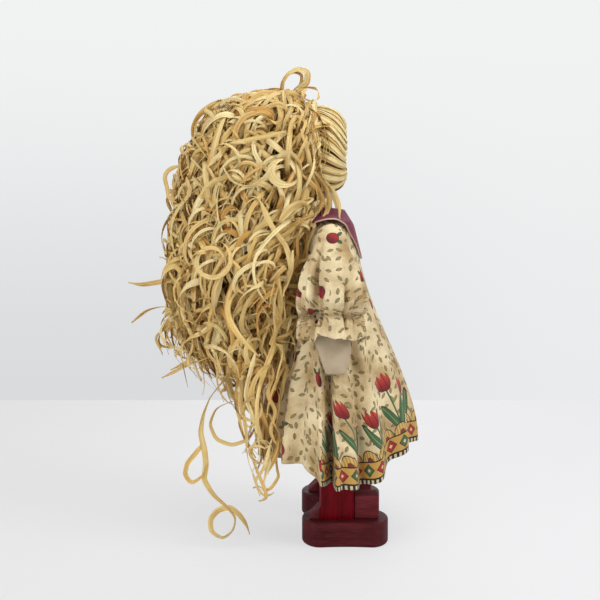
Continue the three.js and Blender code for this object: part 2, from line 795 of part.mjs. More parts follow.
// Wisp that arches out behind, lower down.
function lowerWispGeometry() {
  const steps = [[-1, 8, 6], [-2, 18, 9], [-3, 30, 6], [-4, 42, -4]];
  const across = new THREE.Vector3(1, 0, 0);
  return strayRibbon(backHank, lowerWispHeight, ribbonThickness, steps, across, wispSteps);
}

for (const [name, side] of sides) {
  const half = new THREE.Group();
  half.position.x = side * legSpacing / 2;
  doll.add(half);
  addPiece(`${name}_foot`, footGeometry(), "paintedWood", half);
  addPiece(`${name}_leg`, legGeometry(), "paintedWood", half);
  addPiece(`${name}_toe_block`, toeBlockGeometry(), "paintedWood", half);
  addPiece(`${name}_heel_wedge`, heelWedgeGeometry(), "paintedWood", half);
  addPiece(`${name}_foot_screw`, footScrewGeometry(), "steel", half);
  addPiece(`${name}_leg_dowel`, legDowelGeometry(), "bareWood", half);
}

addPiece("torso", torsoGeometry(), "bareWood");
addPiece("neck_dowel", neckDowelGeometry(), "fleshPaint");
addPiece("head", headGeometry(), "fleshPaint");

for (const [name, side] of sides) {
  const arm = armFrame(side);
  doll.add(arm);
  addPiece(`${name}_arm`, armGeometry(), "fleshPaint", arm);
  addPiece(`${name}_shoulder_screw`, shoulderScrewGeometry(), "steel", arm);
  addPiece(`${name}_shoulder_washer`, cut(washerGeometry(), shoulderScrewGeometry(fitGap)), "steel", arm);
  addPiece(`${name}_sleeve`, sleeveGeometry(), "smockCotton", arm);
  addPiece(`${name}_wrist_tie`, wristTieGeometry(), "thread", arm);
}

addPiece("dress", dressGeometry(), "smockCotton");
addPiece("collar", collarGeometry(), "collarCotton");
addPiece("hair_wrap", hairWrapGeometry(), "raffia");
for (let index = 0; index < hankCount; index += 1) {
  addPiece(`hair_hank_${index + 1}`, hankGeometry(index), "raffia");
}
addPiece("hair_crown_knot", crownKnotGeometry(), "raffia");
addPiece("hair_top_loop", topLoopGeometry(), "raffia");
addPiece("hair_trailing_curl", trailingCurlGeometry(), "raffia");
addPiece("hair_upper_wisp", upperWispGeometry(), "raffia");
addPiece("hair_lower_wisp", lowerWispGeometry(), "raffia");

const reach = new THREE.Box3().setFromObject(doll, true);
const middle = reach.getCenter(new THREE.Vector3());
doll.position.set(-middle.x, -middle.y, -reach.min.z);
doll.updateMatrixWorld(true);

export default doll;
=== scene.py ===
# A standing wooden folk doll with raffia hair, a gathered smock and a cloth collar.
# Metres, +Z up. The doll faces -Y and its right side is -X.
import math
import bpy
import numpy as np
from mathutils import Matrix, Vector


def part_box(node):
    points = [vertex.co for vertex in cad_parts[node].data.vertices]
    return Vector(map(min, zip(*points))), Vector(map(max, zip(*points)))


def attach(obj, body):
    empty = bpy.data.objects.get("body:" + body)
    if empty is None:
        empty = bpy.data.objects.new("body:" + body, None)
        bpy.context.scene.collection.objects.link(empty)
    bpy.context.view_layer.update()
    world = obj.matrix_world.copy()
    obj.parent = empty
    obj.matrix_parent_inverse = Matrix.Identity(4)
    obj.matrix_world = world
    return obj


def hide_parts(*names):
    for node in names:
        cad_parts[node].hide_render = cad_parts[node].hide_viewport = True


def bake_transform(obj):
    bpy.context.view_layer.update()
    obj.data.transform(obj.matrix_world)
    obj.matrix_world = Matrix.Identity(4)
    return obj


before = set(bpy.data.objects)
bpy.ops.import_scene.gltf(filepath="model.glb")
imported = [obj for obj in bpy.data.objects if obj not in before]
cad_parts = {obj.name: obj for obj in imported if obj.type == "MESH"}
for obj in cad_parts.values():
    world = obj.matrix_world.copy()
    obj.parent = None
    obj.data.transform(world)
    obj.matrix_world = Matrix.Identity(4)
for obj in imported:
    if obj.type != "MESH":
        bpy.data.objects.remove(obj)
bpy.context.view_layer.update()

# Camera
# A studio camera square on to the doll's right side, a little above the shoulder and close enough
# that the near foot is drawn larger than the far one.
bpy.ops.object.camera_add(
    location=(-0.7739, -0.0204, 0.2249),
    rotation=(math.radians(86.97), 0, math.radians(-90)),
)
camera = bpy.context.object
camera.name = "studio_camera"
camera.data.lens = 57.01
camera.data.sensor_width = 36
camera.data.shift_y = 0.0033
bpy.context.scene.camera = camera

# Feet
# Two boards of soft wood with round ends and slightly drawn-in sides, painted burgundy all over with a
# brush. A countersunk screw from below holds each to its leg.
LEG_LINE = -0.048988
LEG_SPACING = 0.083
SIDES = (("right", -1), ("left", 1))
FOOT_HALF_WIDTH = 0.0215
FOOT_STRAIGHT = 0.0195
FOOT_END_DEPTH = 0.014
FOOT_WAIST = 0.0015
FOOT_THICKNESS = 0.019
FOOT_FORWARD = 0.0065
FOOT_ROUNDING = 0.0016
FOOT_POINTS = 128


def only(obj):
    """Leaves one object selected and active."""
    bpy.ops.object.select_all(action="DESELECT")
    obj.select_set(True)
    bpy.context.view_layer.objects.active = obj


def added(name):
    """Names the primitive that was just added and moves its place into its mesh."""
    obj = bpy.context.object
    obj.name = name
    obj.data.name = name
    only(obj)
    bpy.ops.object.transform_apply(location=True, rotation=True, scale=True)
    return obj


def unselect(obj, kind):
    """Leaves no edge or corner of a piece selected."""
    only(obj)
    bpy.ops.object.mode_set(mode="EDIT")
    bpy.ops.mesh.select_mode(type=kind)
    bpy.ops.mesh.select_all(action="DESELECT")
    bpy.ops.object.mode_set(mode="OBJECT")


def bevel_where(obj, test, width, steps):
    """Bevels the edges whose two ends pass a test."""
    unselect(obj, "EDGE")
    for edge in obj.data.edges:
        a, b = (obj.data.vertices[i].co for i in edge.vertices)
        edge.select = test(a, b)
    bpy.ops.object.mode_set(mode="EDIT")
    bpy.ops.mesh.bevel(offset=width, segments=steps, affect="EDGES")
    bpy.ops.object.mode_set(mode="OBJECT")


def is_level(a, b):
    """Whether an edge lies level, as round the top and the bottom of a board."""
    return abs(a.z - b.z) < 1e-6


def smooth_by_angle(obj, degrees):
    """Shades the piece smooth up to an angle, so that true edges stay crisp."""
    only(obj)
    bpy.ops.object.shade_smooth_by_angle(angle=math.radians(degrees))


def dress_up(obj, material, body, slot, *nodes):
    """Gives a finished piece its material and its body, and hides the solids that it stands for. The slot is
    not used.
    """
    obj.data.materials.clear()
    obj.data.materials.append(material)
    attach(obj, body)
    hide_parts(*nodes)


def run_along(points):
    """The length of a path so far, at each of its points."""
    return np.concatenate([[0], np.cumsum(np.linalg.norm(np.diff(points, axis=0), axis=1))])


def at_marks(points, run, marks):
    """The places on a path at given lengths along it."""
    return np.stack([np.interp(marks, run, column) for column in points.T], 1)


def srgb(red, green, blue):
    """A colour as the eye counts it, from 0 to 255, for a shader socket."""
    share = np.array([red, green, blue]) / 255.0
    linear = np.where(share <= 0.04045, share / 12.92, ((share + 0.055) / 1.055) ** 2.4)
    return (*[float(x) for x in linear], 1.0)


class Level:
    """A value in a shader tree. Arithmetic with it adds the nodes that do the same on the surface."""

    def __init__(self, socket):
        self.socket = socket
        self.tree = socket.id_data

    def __add__(self, other):
        return calc("ADD", self, other)

    def __sub__(self, other):
        return calc("SUBTRACT", self, other)

    def __rsub__(self, other):
        return calc("SUBTRACT", other, self)

    def __mul__(self, other):
        return calc("MULTIPLY", self, other)

    def __truediv__(self, other):
        return calc("DIVIDE", self, other)

    def __lt__(self, other):
        return calc("LESS_THAN", self, other)

    def __gt__(self, other):
        return calc("GREATER_THAN", self, other)

    def __abs__(self):
        return calc("ABSOLUTE", self)


def fill(sockets, values):
    """Links values to inputs, or fills the inputs with plain numbers, colours and places."""
    for socket, value in zip(sockets, values):
        if isinstance(value, Level):
            value.tree.links.new(value.socket, socket)
        else:
            socket.default_value = value


def put(tree, kind, settings=(), out=0, **inputs):
    """Adds a node with its settings and inputs, by name. Gives one output, or all that are listed."""
    node = tree.nodes.new(f"ShaderNode{kind}")
    for key, value in dict(settings).items():
        setattr(node, key, value)
    fill([node.inputs[key] for key in inputs], inputs.values())
    if isinstance(out, tuple):
        return [Level(node.outputs[key]) for key in out]
    return Level(node.outputs[out])


def calc(operation, *values):
    """One step of arithmetic between values and numbers."""
    tree = next(value.tree for value in values if isinstance(value, Level))
    node = tree.nodes.new("ShaderNodeMath")
    node.operation = operation
    fill(node.inputs, values)
    return Level(node.outputs[0])


def vector_calc(operation, *values):
    """One step of arithmetic between places. A length and a dot product give a number."""
    node = values[0].tree.nodes.new("ShaderNodeVectorMath")
    node.operation = operation
    sockets = [node.inputs[0], node.inputs["Scale"]] if operation == "SCALE" else node.inputs
    fill(sockets, values)
    return Level(node.outputs["Value" if operation in ("LENGTH", "DOT_PRODUCT") else "Vector"])


def ramp(value, low, high, to_low=0.0, to_high=1.0):
    """A value mapped smoothly from one range to another and held at its ends."""
    node = value.tree.nodes.new("ShaderNodeMapRange")
    node.interpolation_type = "SMOOTHSTEP"
    fill(node.inputs, (value, low, high, to_low, to_high))
    return Level(node.outputs[0])


def tint(share, first, second):
    """A mix of two colours, by a share that changes over the surface."""
    node = share.tree.nodes.new("ShaderNodeMix")
    node.data_type = "RGBA"
    fill([node.inputs[index] for index in (0, 6, 7)], (share, first, second))
    return Level(node.outputs[2])


def new_material(name, roughness, settings=()):
    """A material, its tree and its Principled shader."""
    made = bpy.data.materials.new(name)
    made.use_nodes = True
    shader = made.node_tree.nodes["Principled BSDF"]
    for key, value in dict(settings, Roughness=roughness).items():
        shader.inputs[key].default_value = value
    return made, made.node_tree, shader


def finish(shader, **looks):
    """Links what a material's tree has worked out to its shader."""
    fill([shader.inputs[key.replace("_", " ")] for key in looks], looks.values())


def bump(shader, height, strength, distance, **over):
    """Raises the surface by a height, over a Normal that is already bent where one is given."""
    raised = put(height.tree, "Bump", Height=height, Strength=strength, Distance=distance, **over)
    finish(shader, Normal=raised)


def on_object(tree):
    """A place on the piece, in metres."""
    return put(tree, "TexCoord", (), "Object")


def noise(place, scale, detail, **more):
    """Noise over a surface."""
    return put(place.tree, "TexNoise", Vector=place, Scale=scale, Detail=detail, **more)


def new_group(name, inputs, outputs):
    """A shader group with sockets of given names and kinds: its tree, what it is given and its end."""
    tree = bpy.data.node_groups.new(name, "ShaderNodeTree")
    for way, sockets in (("INPUT", inputs), ("OUTPUT", outputs)):
        for label, kind in sockets.items():
            tree.interface.new_socket(label, in_out=way, socket_type=f"NodeSocket{kind}")
    given, end = tree.nodes.new("NodeGroupInput"), tree.nodes.new("NodeGroupOutput")
    return tree, [Level(given.outputs[label]) for label in inputs], end


def grouped(tree, group, out, **inputs):
    """Places a shader group in a material with its own values."""
    return put(tree, "Group", {"node_tree": group}, out, **inputs)


def brush_group():
    """Streaks of a brush over open grain: a tone and a height that run along one direction."""
    tree, (place, fineness), end = new_group(
        "brush_and_grain", {"Vector": "Vector", "Fineness": "Float"}, {"Tone": "Float", "Height": "Float"}
    )
    mixed = noise(place, fineness * 4.3, 5.0) * 0.6 + noise(place, fineness, 4.0) * 0.55
    fill(end.inputs, (ramp(mixed, 0.36, 0.8), mixed))
    return tree


def wear_group():
    """Rubbed edges: a mask along the corners of a piece, broken up by a fine noise."""
    tree, (place, reach), end = new_group(
        "edge_wear", {"Vector": "Vector", "Reach": "Float"}, {"Mask": "Float"}
    )
    rounded = put(tree, "Bevel", {"samples": 6}, Radius=reach)
    facing = put(tree, "NewGeometry", (), "Normal")
    corner = ramp(1.0 - vector_calc("DOT_PRODUCT", rounded, facing), 0.01, 0.16)
    fill(end.inputs, [corner * ramp(noise(place, 320.0, 4.0), 0.34, 0.66, 0.25, 1.0)])
    return tree


BRUSH = brush_group()
WEAR = wear_group()


def painted_wood(name, stretch, dark, light, rubbed, fineness, gloss):
    """Brushed paint over wood: streaks along one direction, paler rubbed corners, satin gloss."""
    made, tree, shader = new_material(name, gloss, {"Specular IOR Level": 0.09})
    where = on_object(tree)
    run = put(tree, "Mapping", Vector=where, Scale=stretch)
    tone, height = grouped(tree, BRUSH, ("Tone", "Height"), Vector=run, Fineness=fineness)
    worn = grouped(tree, WEAR, "Mask", Vector=where, Reach=0.0016)
    coat = tint(worn, tint(tone, dark, light), rubbed)
    finish(shader, Base_Color=coat, Roughness=ramp(tone, 0.0, 1.0, gloss, gloss + 0.16))
    bump(shader, height, 0.35, 0.0006)
    return made


foot_paint = painted_wood(
    "foot_paint", (1.0, 0.09, 1.0), srgb(58, 14, 20), srgb(92, 34, 38), srgb(122, 66, 66), 210.0, 0.46
)


def foot_outline():
    """Evenly spaced points round a foot board, from its right middle anticlockwise."""
    half, straight = FOOT_HALF_WIDTH, FOOT_STRAIGHT
    turn = np.linspace(0, math.pi, 90)
    side = np.linspace(-1, 1, 60)
    right = np.stack([half - FOOT_WAIST * (1 - side**2), side * straight], 1)
    top = np.stack([half * np.cos(turn), straight + FOOT_END_DEPTH * np.sin(turn)], 1)
    path = np.concatenate([right[30:], top, -right, -top, right[:30], right[30:31]])
    run = run_along(path)
    return at_marks(path, run, np.linspace(0, run[-1], FOOT_POINTS, endpoint=False))


outline = foot_outline()
for side_name, side in SIDES:
    bpy.ops.mesh.primitive_cylinder_add(
        vertices=FOOT_POINTS, radius=FOOT_HALF_WIDTH, depth=FOOT_THICKNESS,
        location=(0, 0, FOOT_THICKNESS / 2),
    )
    foot = added(f"foot_{side_name}")
    for vertex in foot.data.vertices:
        turned = math.atan2(vertex.co.y, vertex.co.x) / (2 * math.pi) * FOOT_POINTS
        x, y = outline[round(turned) % FOOT_POINTS]
        vertex.co.x = x + side * LEG_SPACING / 2
        vertex.co.y = y + LEG_LINE - FOOT_FORWARD
    bevel_where(foot, is_level, FOOT_ROUNDING, 4)
    smooth_by_angle(foot, 40)
    dress_up(foot, foot_paint, "figure", "painted_wood", f"{side_name}_foot")

# Legs, toe blocks and heel wedges
# Square posts with their corners planed off, a small block in front of each and a glued fillet behind,
# all in the same burgundy paint, brushed upwards on the posts.
LEG_CHAMFER = 0.0026
LEG_ROUNDING, BLOCK_ROUNDING, WEDGE_ROUNDING = 0.0005, 0.0009, 0.0005
WEDGE_BACK = 0.0012
leg_paint = painted_wood(
    "leg_paint", (1.0, 1.0, 0.05), srgb(70, 1, 8), srgb(124, 5, 21), srgb(136, 36, 46), 330.0, 0.3
)
block_paint = painted_wood(
    "block_paint", (1.0, 0.1, 1.0), srgb(86, 24, 30), srgb(114, 48, 52), srgb(134, 70, 72), 220.0, 0.6
)


def post(piece, side_name, paint, rounding, steps, cut=None):
    """A painted block at the size and place of its solid, cut to shape where it needs that."""
    node = f"{side_name}_{piece}"
    low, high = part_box(node)
    bpy.ops.mesh.primitive_cube_add(size=1, location=(low + high) / 2, scale=high - low)
    obj = added(f"{piece}_{side_name}")
    if cut:
        cut(obj, low)
    bevel_where(obj, lambda a, b: True, rounding, steps)
    smooth_by_angle(obj, 25)
    dress_up(obj, paint, "figure", "painted_wood", node)


def plane_corners(leg, low):
    """Takes off the upright corners of a leg."""
    bevel_where(leg, lambda a, b: abs(a.z - b.z) > 0.05, LEG_CHAMFER, 1)


def slope_back(wedge, low):
    """Brings the top of a wedge down to a thin edge behind."""
    for vertex in wedge.data.vertices:
        if vertex.co.y > low.y + 0.001 and vertex.co.z > low.z + 0.001:
            vertex.co.z = low.z + WEDGE_BACK


for side_name, _ in SIDES:
    post("leg", side_name, leg_paint, LEG_ROUNDING, 2, plane_corners)
    post("toe_block", side_name, block_paint, BLOCK_ROUNDING, 3)
    post("heel_wedge", side_name, block_paint, WEDGE_ROUNDING, 2, slope_back)

# Torso, dowels and screws
# Planed pine inside the smock, joined with dowels, and plated steel screws with their washers.
# They show only from below, so the solids themselves carry the finish.
def bare_wood():
    """Planed softwood with upright grain and a few darker bands."""
    made, tree, shader = new_material("planed_pine", 0.68)
    run = put(tree, "Mapping", Vector=on_object(tree), Scale=(1.0, 1.0, 0.07))
    tone, height = grouped(tree, BRUSH, ("Tone", "Height"), Vector=run, Fineness=170.0)
    finish(shader, Base_Color=tint(tone, srgb(178, 138, 92), srgb(214, 182, 134)))
    bump(shader, height, 0.3, 0.0004)
    return made


def plated_steel():
    """Dull zinc plate with fine turning marks."""
    made, tree, shader = new_material("plated_steel", 0.35, {"Metallic": 1.0})
    tone = grouped(tree, BRUSH, "Tone", Vector=on_object(tree), Fineness=900.0)
    colour = tint(tone, srgb(142, 142, 146), srgb(186, 186, 188))
    finish(shader, Base_Color=colour, Roughness=ramp(tone, 0.0, 1.0, 0.28, 0.44))
    return made


inside_finishes = (
    (bare_wood(), ("torso", "leg_dowel")),
    (plated_steel(), ("_screw", "_washer")),
)
for node_name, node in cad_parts.items():
    for material, endings in inside_finishes:
        if node_name.endswith(endings):
            node.data.materials.clear()
            node.data.materials.append(material)

# Head and neck
# A turned wooden ball, a little flattened, on a thick dowel. Both are painted a flesh colour; the face
# has a small nose, oval eyes, thin brows, round cheeks and a curved mouth.
HEAD_MIDDLE = Vector((0, LEG_LINE + 0.022, 0.3046))
HEAD_HALF = Vector((0.030, 0.028, 0.033))
NOSE_HEIGHT, NOSE_RADIUS = 0.0028, 0.0034
NECK_ROUNDING = 0.0008


def length(across, up):
    """The length of a line, from its two measures."""
    return calc("SQRT", across * across + up * up)


def parts(place):
    """The three measures of a place."""
    return put(place.tree, "SeparateXYZ", (), (0, 1, 2), Vector=place)


def painted_over(colour, layers):
    """A colour with paints laid over it one after another, each by its own share."""
    for share, paint in layers:
        colour = tint(share, colour, paint)
    return colour


def flesh_paint(name, with_face=False):
    """Matt flesh paint, uneven where the brush left it thin, plain or with the painted face in front."""
    made, tree, shader = new_material(name, 0.58)
    where = on_object(tree)
    uneven = ramp(noise(where, 70.0, 5.0), 0.3, 0.7)
    colour = tint(uneven, srgb(162, 144, 116), srgb(184, 166, 138))
    if with_face:
        colour = painted_face(where, colour)
    worn = grouped(tree, WEAR, "Mask", Vector=where, Reach=0.0014)
    finish(shader, Base_Color=tint(worn, colour, srgb(172, 146, 112)))
    run = put(tree, "Mapping", Vector=where, Scale=(1.0, 1.0, 0.15))
    bump(shader, grouped(tree, BRUSH, "Height", Vector=run, Fineness=260.0), 0.22, 0.0005)
    return made


def painted_face(where, skin):
    """Eyes, brows, cheeks and mouth, measured in millimetres from the middle of the head."""
    across, deep, up = parts(vector_calc("SCALE", vector_calc("SUBTRACT", where, HEAD_MIDDLE), 1000.0))
    aside = abs(across)
    in_front = ramp(deep, -6.0, -8.0)

    def spot(sideways, x, z, half_wide, half_high, soft):
        """A filled oval with a soft rim."""
        far = length((sideways - x) / half_wide, (up - z) / half_high)
        return ramp(far, 1.0 + soft, 1.0 - soft) * in_front

    def arc(x, z, radius, wide, low, high):
        """A painted arc of a circle between two heights."""
        line = ramp(abs(length(aside - x, up - z) - radius), wide, wide * 0.4)
        return line * (ramp(up, low, low + 0.5) * ramp(up, high, high - 0.5)) * in_front

    cheeks = spot(aside, 13.0, -7.0, 5.6, 5.0, 0.7) * 0.75
    nose_tip = spot(aside, 0.0, -2.0, 3.0, 2.6, 0.8) * 0.5
    eyes = spot(aside, 8.5, 4.0, 2.0, 2.9, 0.12)
    right_glint = spot(across, -7.9, 5.2, 0.65, 0.75, 0.2)
    left_glint = spot(across, 9.1, 5.2, 0.65, 0.75, 0.2)
    brows = arc(8.5, -1.0, 11.0, 0.55, 8.6, 12.0)
    mouth = arc(0.0, -2.5, 9.5, 0.75, -13.0, -8.8)
    return painted_over(skin, (
        (cheeks, srgb(196, 112, 98)),
        (nose_tip, srgb(202, 130, 112)),
        (eyes, srgb(38, 28, 24)),
        (right_glint, srgb(236, 232, 224)),
        (left_glint, srgb(236, 232, 224)),
        (brows, srgb(112, 78, 50)),
        (mouth, srgb(146, 52, 48)),
    ))


bpy.ops.mesh.primitive_uv_sphere_add(
    segments=72, ring_count=48, radius=1, location=HEAD_MIDDLE, scale=HEAD_HALF
)
head = added("head_ball")
nose = HEAD_MIDDLE + Vector((0, -HEAD_HALF.y, -0.002))
for vertex in head.data.vertices:
    reach = (vertex.co - nose).length
    vertex.co.y -= NOSE_HEIGHT * math.exp(-((reach / NOSE_RADIUS) ** 2))
only(head)
bpy.ops.object.shade_smooth()
dress_up(head, flesh_paint("face_paint", True), "figure", "flesh_paint", "head")

limb_paint = flesh_paint("limb_paint")
neck_low, neck_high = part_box("neck_dowel")
bpy.ops.mesh.primitive_cylinder_add(
    vertices=48, radius=(neck_high.x - neck_low.x) / 2, depth=neck_high.z - neck_low.z,
    location=(neck_low + neck_high) / 2,
)
neck = added("neck")
bevel_where(neck, is_level, NECK_ROUNDING, 2)
smooth_by_angle(neck, 40)
dress_up(neck, limb_paint, "figure", "flesh_paint", "neck_dowel")

# Arms
# Flat boards that hang in a plane leaning outwards. Each turns on its shoulder screw, and its lower end
# is sawn to a mitten of a hand, painted like the face with the edges rubbed.
ARM_TILT = math.radians(13)
ARM_PLANE = 0.0435
ARM_PIVOT = Vector((0, LEG_LINE + 0.005, 0.2321))
ARM_INSET = 0.0015
ARM_THICKNESS = 0.0095
ARM_TOP = 0.009
ARM_ROUNDING = 0.0009


def arm_place(side):
    """The leaning plane of one arm: X out from the doll, -Z down the arm."""
    pivot = Matrix.Translation(ARM_PIVOT + Vector((side * ARM_PLANE, 0, 0)))
    return pivot @ Matrix.Rotation(-side * ARM_TILT, 4, "Y") @ Matrix.Diagonal((side, 1, 1, 1))


def arm_outline():
    """The arm seen from its side: round at the shoulder, a mitten hand below."""
    turn = np.linspace(0, math.pi, 24)
    top = [(ARM_TOP * math.cos(t), ARM_TOP * math.sin(t)) for t in turn]
    curl = np.linspace(0, 1, 12)
    start, pull, end = np.array([[-14.2, -82.6], [-14.2, -96.4], [-9.0, -102.5]]) / 1000
    fingers = [(1 - k) ** 2 * start + 2 * k * (1 - k) * pull + k**2 * end for k in curl]
    front = [(-0.0112, -0.059), (-0.0142, -0.076)]
    back = [(0.0036, -0.1025), (0.0047, -0.1016), (0.0136, -0.076), (0.0116, -0.059)]
    return [*top, *front, *[tuple(p) for p in fingers], *back]


def new_object(name, points, faces):
    """A piece made of points and faces."""
    mesh = bpy.data.meshes.new(name)
    mesh.from_pydata(points, [], faces)
    obj = bpy.data.objects.new(name, mesh)
    bpy.context.scene.collection.objects.link(obj)
    return obj


def face_outwards(obj):
    """Turns all the faces of a piece outwards."""
    only(obj)
    bpy.ops.object.mode_set(mode="EDIT")
    bpy.ops.mesh.select_all(action="SELECT")
    bpy.ops.mesh.normals_make_consistent(inside=False)
    bpy.ops.object.mode_set(mode="OBJECT")


for side_name, side in SIDES:
    rim = [(ARM_INSET, y, z) for y, z in arm_outline()]
    arm = new_object(f"arm_{side_name}", rim, [list(range(len(rim)))])
    only(arm)
    bpy.ops.object.mode_set(mode="EDIT")
    bpy.ops.mesh.select_all(action="SELECT")
    bpy.ops.mesh.extrude_region_move(TRANSFORM_OT_translate={"value": (ARM_THICKNESS, 0, 0)})
    bpy.ops.object.mode_set(mode="OBJECT")
    bevel_where(arm, lambda a, b: abs(a.x - b.x) < 1e-6, ARM_ROUNDING, 3)
    arm.data.transform(arm_place(side))
    face_outwards(arm)
    smooth_by_angle(arm, 35)
    dress_up(arm, limb_paint, f"arm_{side_name}", "flesh_paint", f"{side_name}_arm")

# Smock
# One cotton smock of two panels, seamed down the sides, drawn in at the neck and hanging in loose folds.
# The cloth is a tea-coloured plain weave with a tossed print; the front panel has a printed border.
NECK_HALF, NECK_BACK, YOKE_RISE = 15.5, 9.5, 13.0
SHOULDER_HALF, SHOULDER_HEIGHT = 40.5, 244.6
CHEST_TOP, BODICE_FRONT, BODICE_BACK = 14.0, 17.0, 26.0
HEM_HALF, HEM_FRONT, HEM_BACK = 78.0, 63.0, 62.0
HEM_SIDE_HEIGHT, HEM_FRONT_HEIGHT, HEM_BACK_HEIGHT = 49.0, 72.0, 65.0
SEAM_ANGLE = 101
CLOTH_THICKNESS, FAN_REACH = 0.0008, 0.27
# On the cut: the end of the front panel, the middle of the back one and the lowest fruit in front
FRONT_PANEL_END, BACK_PANEL, FRUIT_LOWEST = 0.35, 0.6, 0.088
LEAF_RIB = 0.17
SMOCK_EASING, GATHER_RADIUS, GATHER_HEIGHT = 14, 7.5, 258.4
# Folds at the hem: angle from the front over the left side, depth in millimetres and width in degrees
FOLDS = (
    (-24, 5.0, 7.0), (17, 6.0, 8.0), (47, 7.5, 7.0), (73, 5.0, 5.5), (101, 8.5, 4.5), (128, 6.6, 7.5),
    (157, 6.0, 7.0), (188, 7.0, 8.0), (216, 6.4, 7.0), (239, 6.0, 5.0), (259, 20.0, 2.5), (289, 11.0, 4.4),
    (311, 5.0, 6.0),
)


def step_between(value, low, high):
    """Zero before low, one after high and smooth between."""
    share = np.clip((value - low) / (high - low), 0, 1)
    return share * share * (3 - 2 * share)


def hem_height(angle):
    """The hem is lowest at the sides and rises in front and behind."""
    ahead = np.cos(angle)
    front = (HEM_FRONT_HEIGHT - HEM_SIDE_HEIGHT) * step_between(ahead, 0.28, 0.92)
    back = (HEM_BACK_HEIGHT - HEM_SIDE_HEIGHT) * step_between(-ahead, 0.05, 0.5)
    return HEM_SIDE_HEIGHT + front + back


def fold_depth(angle, along):
    """How far the hanging cloth stands in or out at a place on the skirt."""
    total = np.zeros_like(angle * along)
    hang = step_between(along, 0.1, 1.0) ** 1.2
    for middle, depth, width in FOLDS:
        lean = math.radians(middle + 5 * math.sin(middle)) + 0.05 * (1 - along) * math.sin(2.3 * middle)
        apart = np.angle(np.exp(1j * (angle - lean)))
        wide = math.radians(width) * (1.7 - 0.7 * along)
        valley = np.exp(-((apart / wide) ** 2))
        banks = np.exp(-(((np.abs(apart) - 1.9 * wide) / wide) ** 2))
        total = total - depth * valley + 0.42 * depth * banks
    ripple = 0.5 * np.sin(23 * angle + 4 * along) + 0.35 * np.sin(41 * angle - 7 * along)
    gathers = 0.7 * np.sin(52 * angle) * np.exp(-(((along + 0.3) / 0.35) ** 2))
    return total * hang + ripple * hang * 0.8 + gathers


def smock_sizes(along):
    """Half width, reach in front, reach behind and squareness of the smock at one level."""
    upper = along < 0
    spread = np.where(upper, -along, step_between(along, 0, 1))
    half = SHOULDER_HALF + spread * (np.where(upper, NECK_HALF, HEM_HALF) - SHOULDER_HALF)
    chest = np.where(upper, CHEST_TOP, CHEST_TOP + (BODICE_FRONT - CHEST_TOP) * step_between(along, 0, 0.17))
    ahead = chest + spread * (np.where(upper, NECK_HALF - NECK_BACK, HEM_FRONT) - chest)
    behind = BODICE_BACK + spread * (np.where(upper, NECK_HALF + NECK_BACK, HEM_BACK) - BODICE_BACK)
    return half, ahead, behind, 0.72 + 0.28 * np.minimum(1, np.abs(along) * 2)


def smock_point(angle, along, folded=True):
    """Points on the smock in millimetres from the leg line. Along runs from -1 at the neck over 0 at the
    shoulder to 1 at the hem."""
    half, ahead, behind, square = smock_sizes(along)
    fold = fold_depth(angle, along) if folded else 0
    height = np.where(
        along < 0, SHOULDER_HEIGHT - along * YOKE_RISE,
        SHOULDER_HEIGHT + (hem_height(angle) - SHOULDER_HEIGHT) * along,
    )
    sine, cosine = np.sin(angle), np.cos(angle)
    x = (half + fold) * np.sign(sine) * np.abs(sine) ** square
    y = (behind - ahead) / 2 - ((ahead + behind) / 2 + fold) * np.sign(cosine) * np.abs(cosine) ** square
    return np.stack([x, y, height + 0 * x], -1)


def neck_rows(ring, radius, height):
    """Rows that draw the cloth in from a ring to the neck."""
    turn = np.radians(np.arange(0, 360, 1.0))
    gathers = radius + 0.25 * np.sin(24 * turn)
    inner = np.stack([gathers * np.sin(turn), NECK_BACK - gathers * np.cos(turn), height + 0 * turn], 1)
    share = np.linspace(0, 1, 6)[:-1, None, None]
    return inner + (ring - inner) * share


def to_frame(points):
    """Millimetres from the leg line as metres in the doll's frame."""
    moved = np.array(points, float) / 1000
    moved[..., 1] += LEG_LINE
    return moved


def eased(points, rounds):
    """Points with their kinks eased along their rows, the first and the last kept."""
    for _ in range(rounds):
        points[1:-1] = 0.25 * points[:-2] + 0.5 * points[1:-1] + 0.25 * points[2:]
    return points


def steps_round(skin):
    """Millimetres from each point of a row to the next, all the way round."""
    return np.linalg.norm(np.roll(skin, -1, axis=1) - skin, axis=2)


def up_from_edge(skin):
    """Metres along the cloth from its last row up to each point."""
    drop = np.linalg.norm(np.diff(skin, axis=0), axis=2) / 1000
    return np.concatenate([np.cumsum(drop[::-1], axis=0)[::-1], np.zeros((1, skin.shape[1]))])


def column_read(col, face_col):
    """The column to read a run from: the face that closes the round ends on the last value."""
    return col if col or face_col == 0 else -1


def sheet_mesh(name, points, maps, closed_round):
    """A grid of points, row by row, as a mesh with maps in metres. A map has one value per face corner:
    it is given as a function of row, column and the column that the face starts from."""
    rows, count = points.shape[:2]
    wrap = count if closed_round else count - 1
    faces, corners = [], {key: [] for key in maps}
    for row in range(rows - 1):
        for col in range(wrap):
            nxt = (col + 1) % count
            ring = ((row, col), (row + 1, col), (row + 1, nxt), (row, nxt))
            faces.append([r * count + c for r, c in ring])
            for key, flat_place in maps.items():
                corners[key].extend(flat_place(r, c, col) for r, c in ring)
    obj = new_object(name, points.reshape(-1, 3).tolist(), faces)
    for key, places in corners.items():
        layer = obj.data.uv_layers.new(name=key)
        layer.data.foreach_set("uv", np.array(places, np.float32).ravel())
    face_outwards(obj)
    bpy.ops.object.shade_smooth()
    return obj


def thicken(obj, thickness):
    """Gives a sheet its thickness, inwards from its face."""
    solid = obj.modifiers.new("cloth", "SOLIDIFY")
    solid.thickness = thickness
    solid.offset = -1
    only(obj)
    bpy.ops.object.modifier_apply(modifier=solid.name)


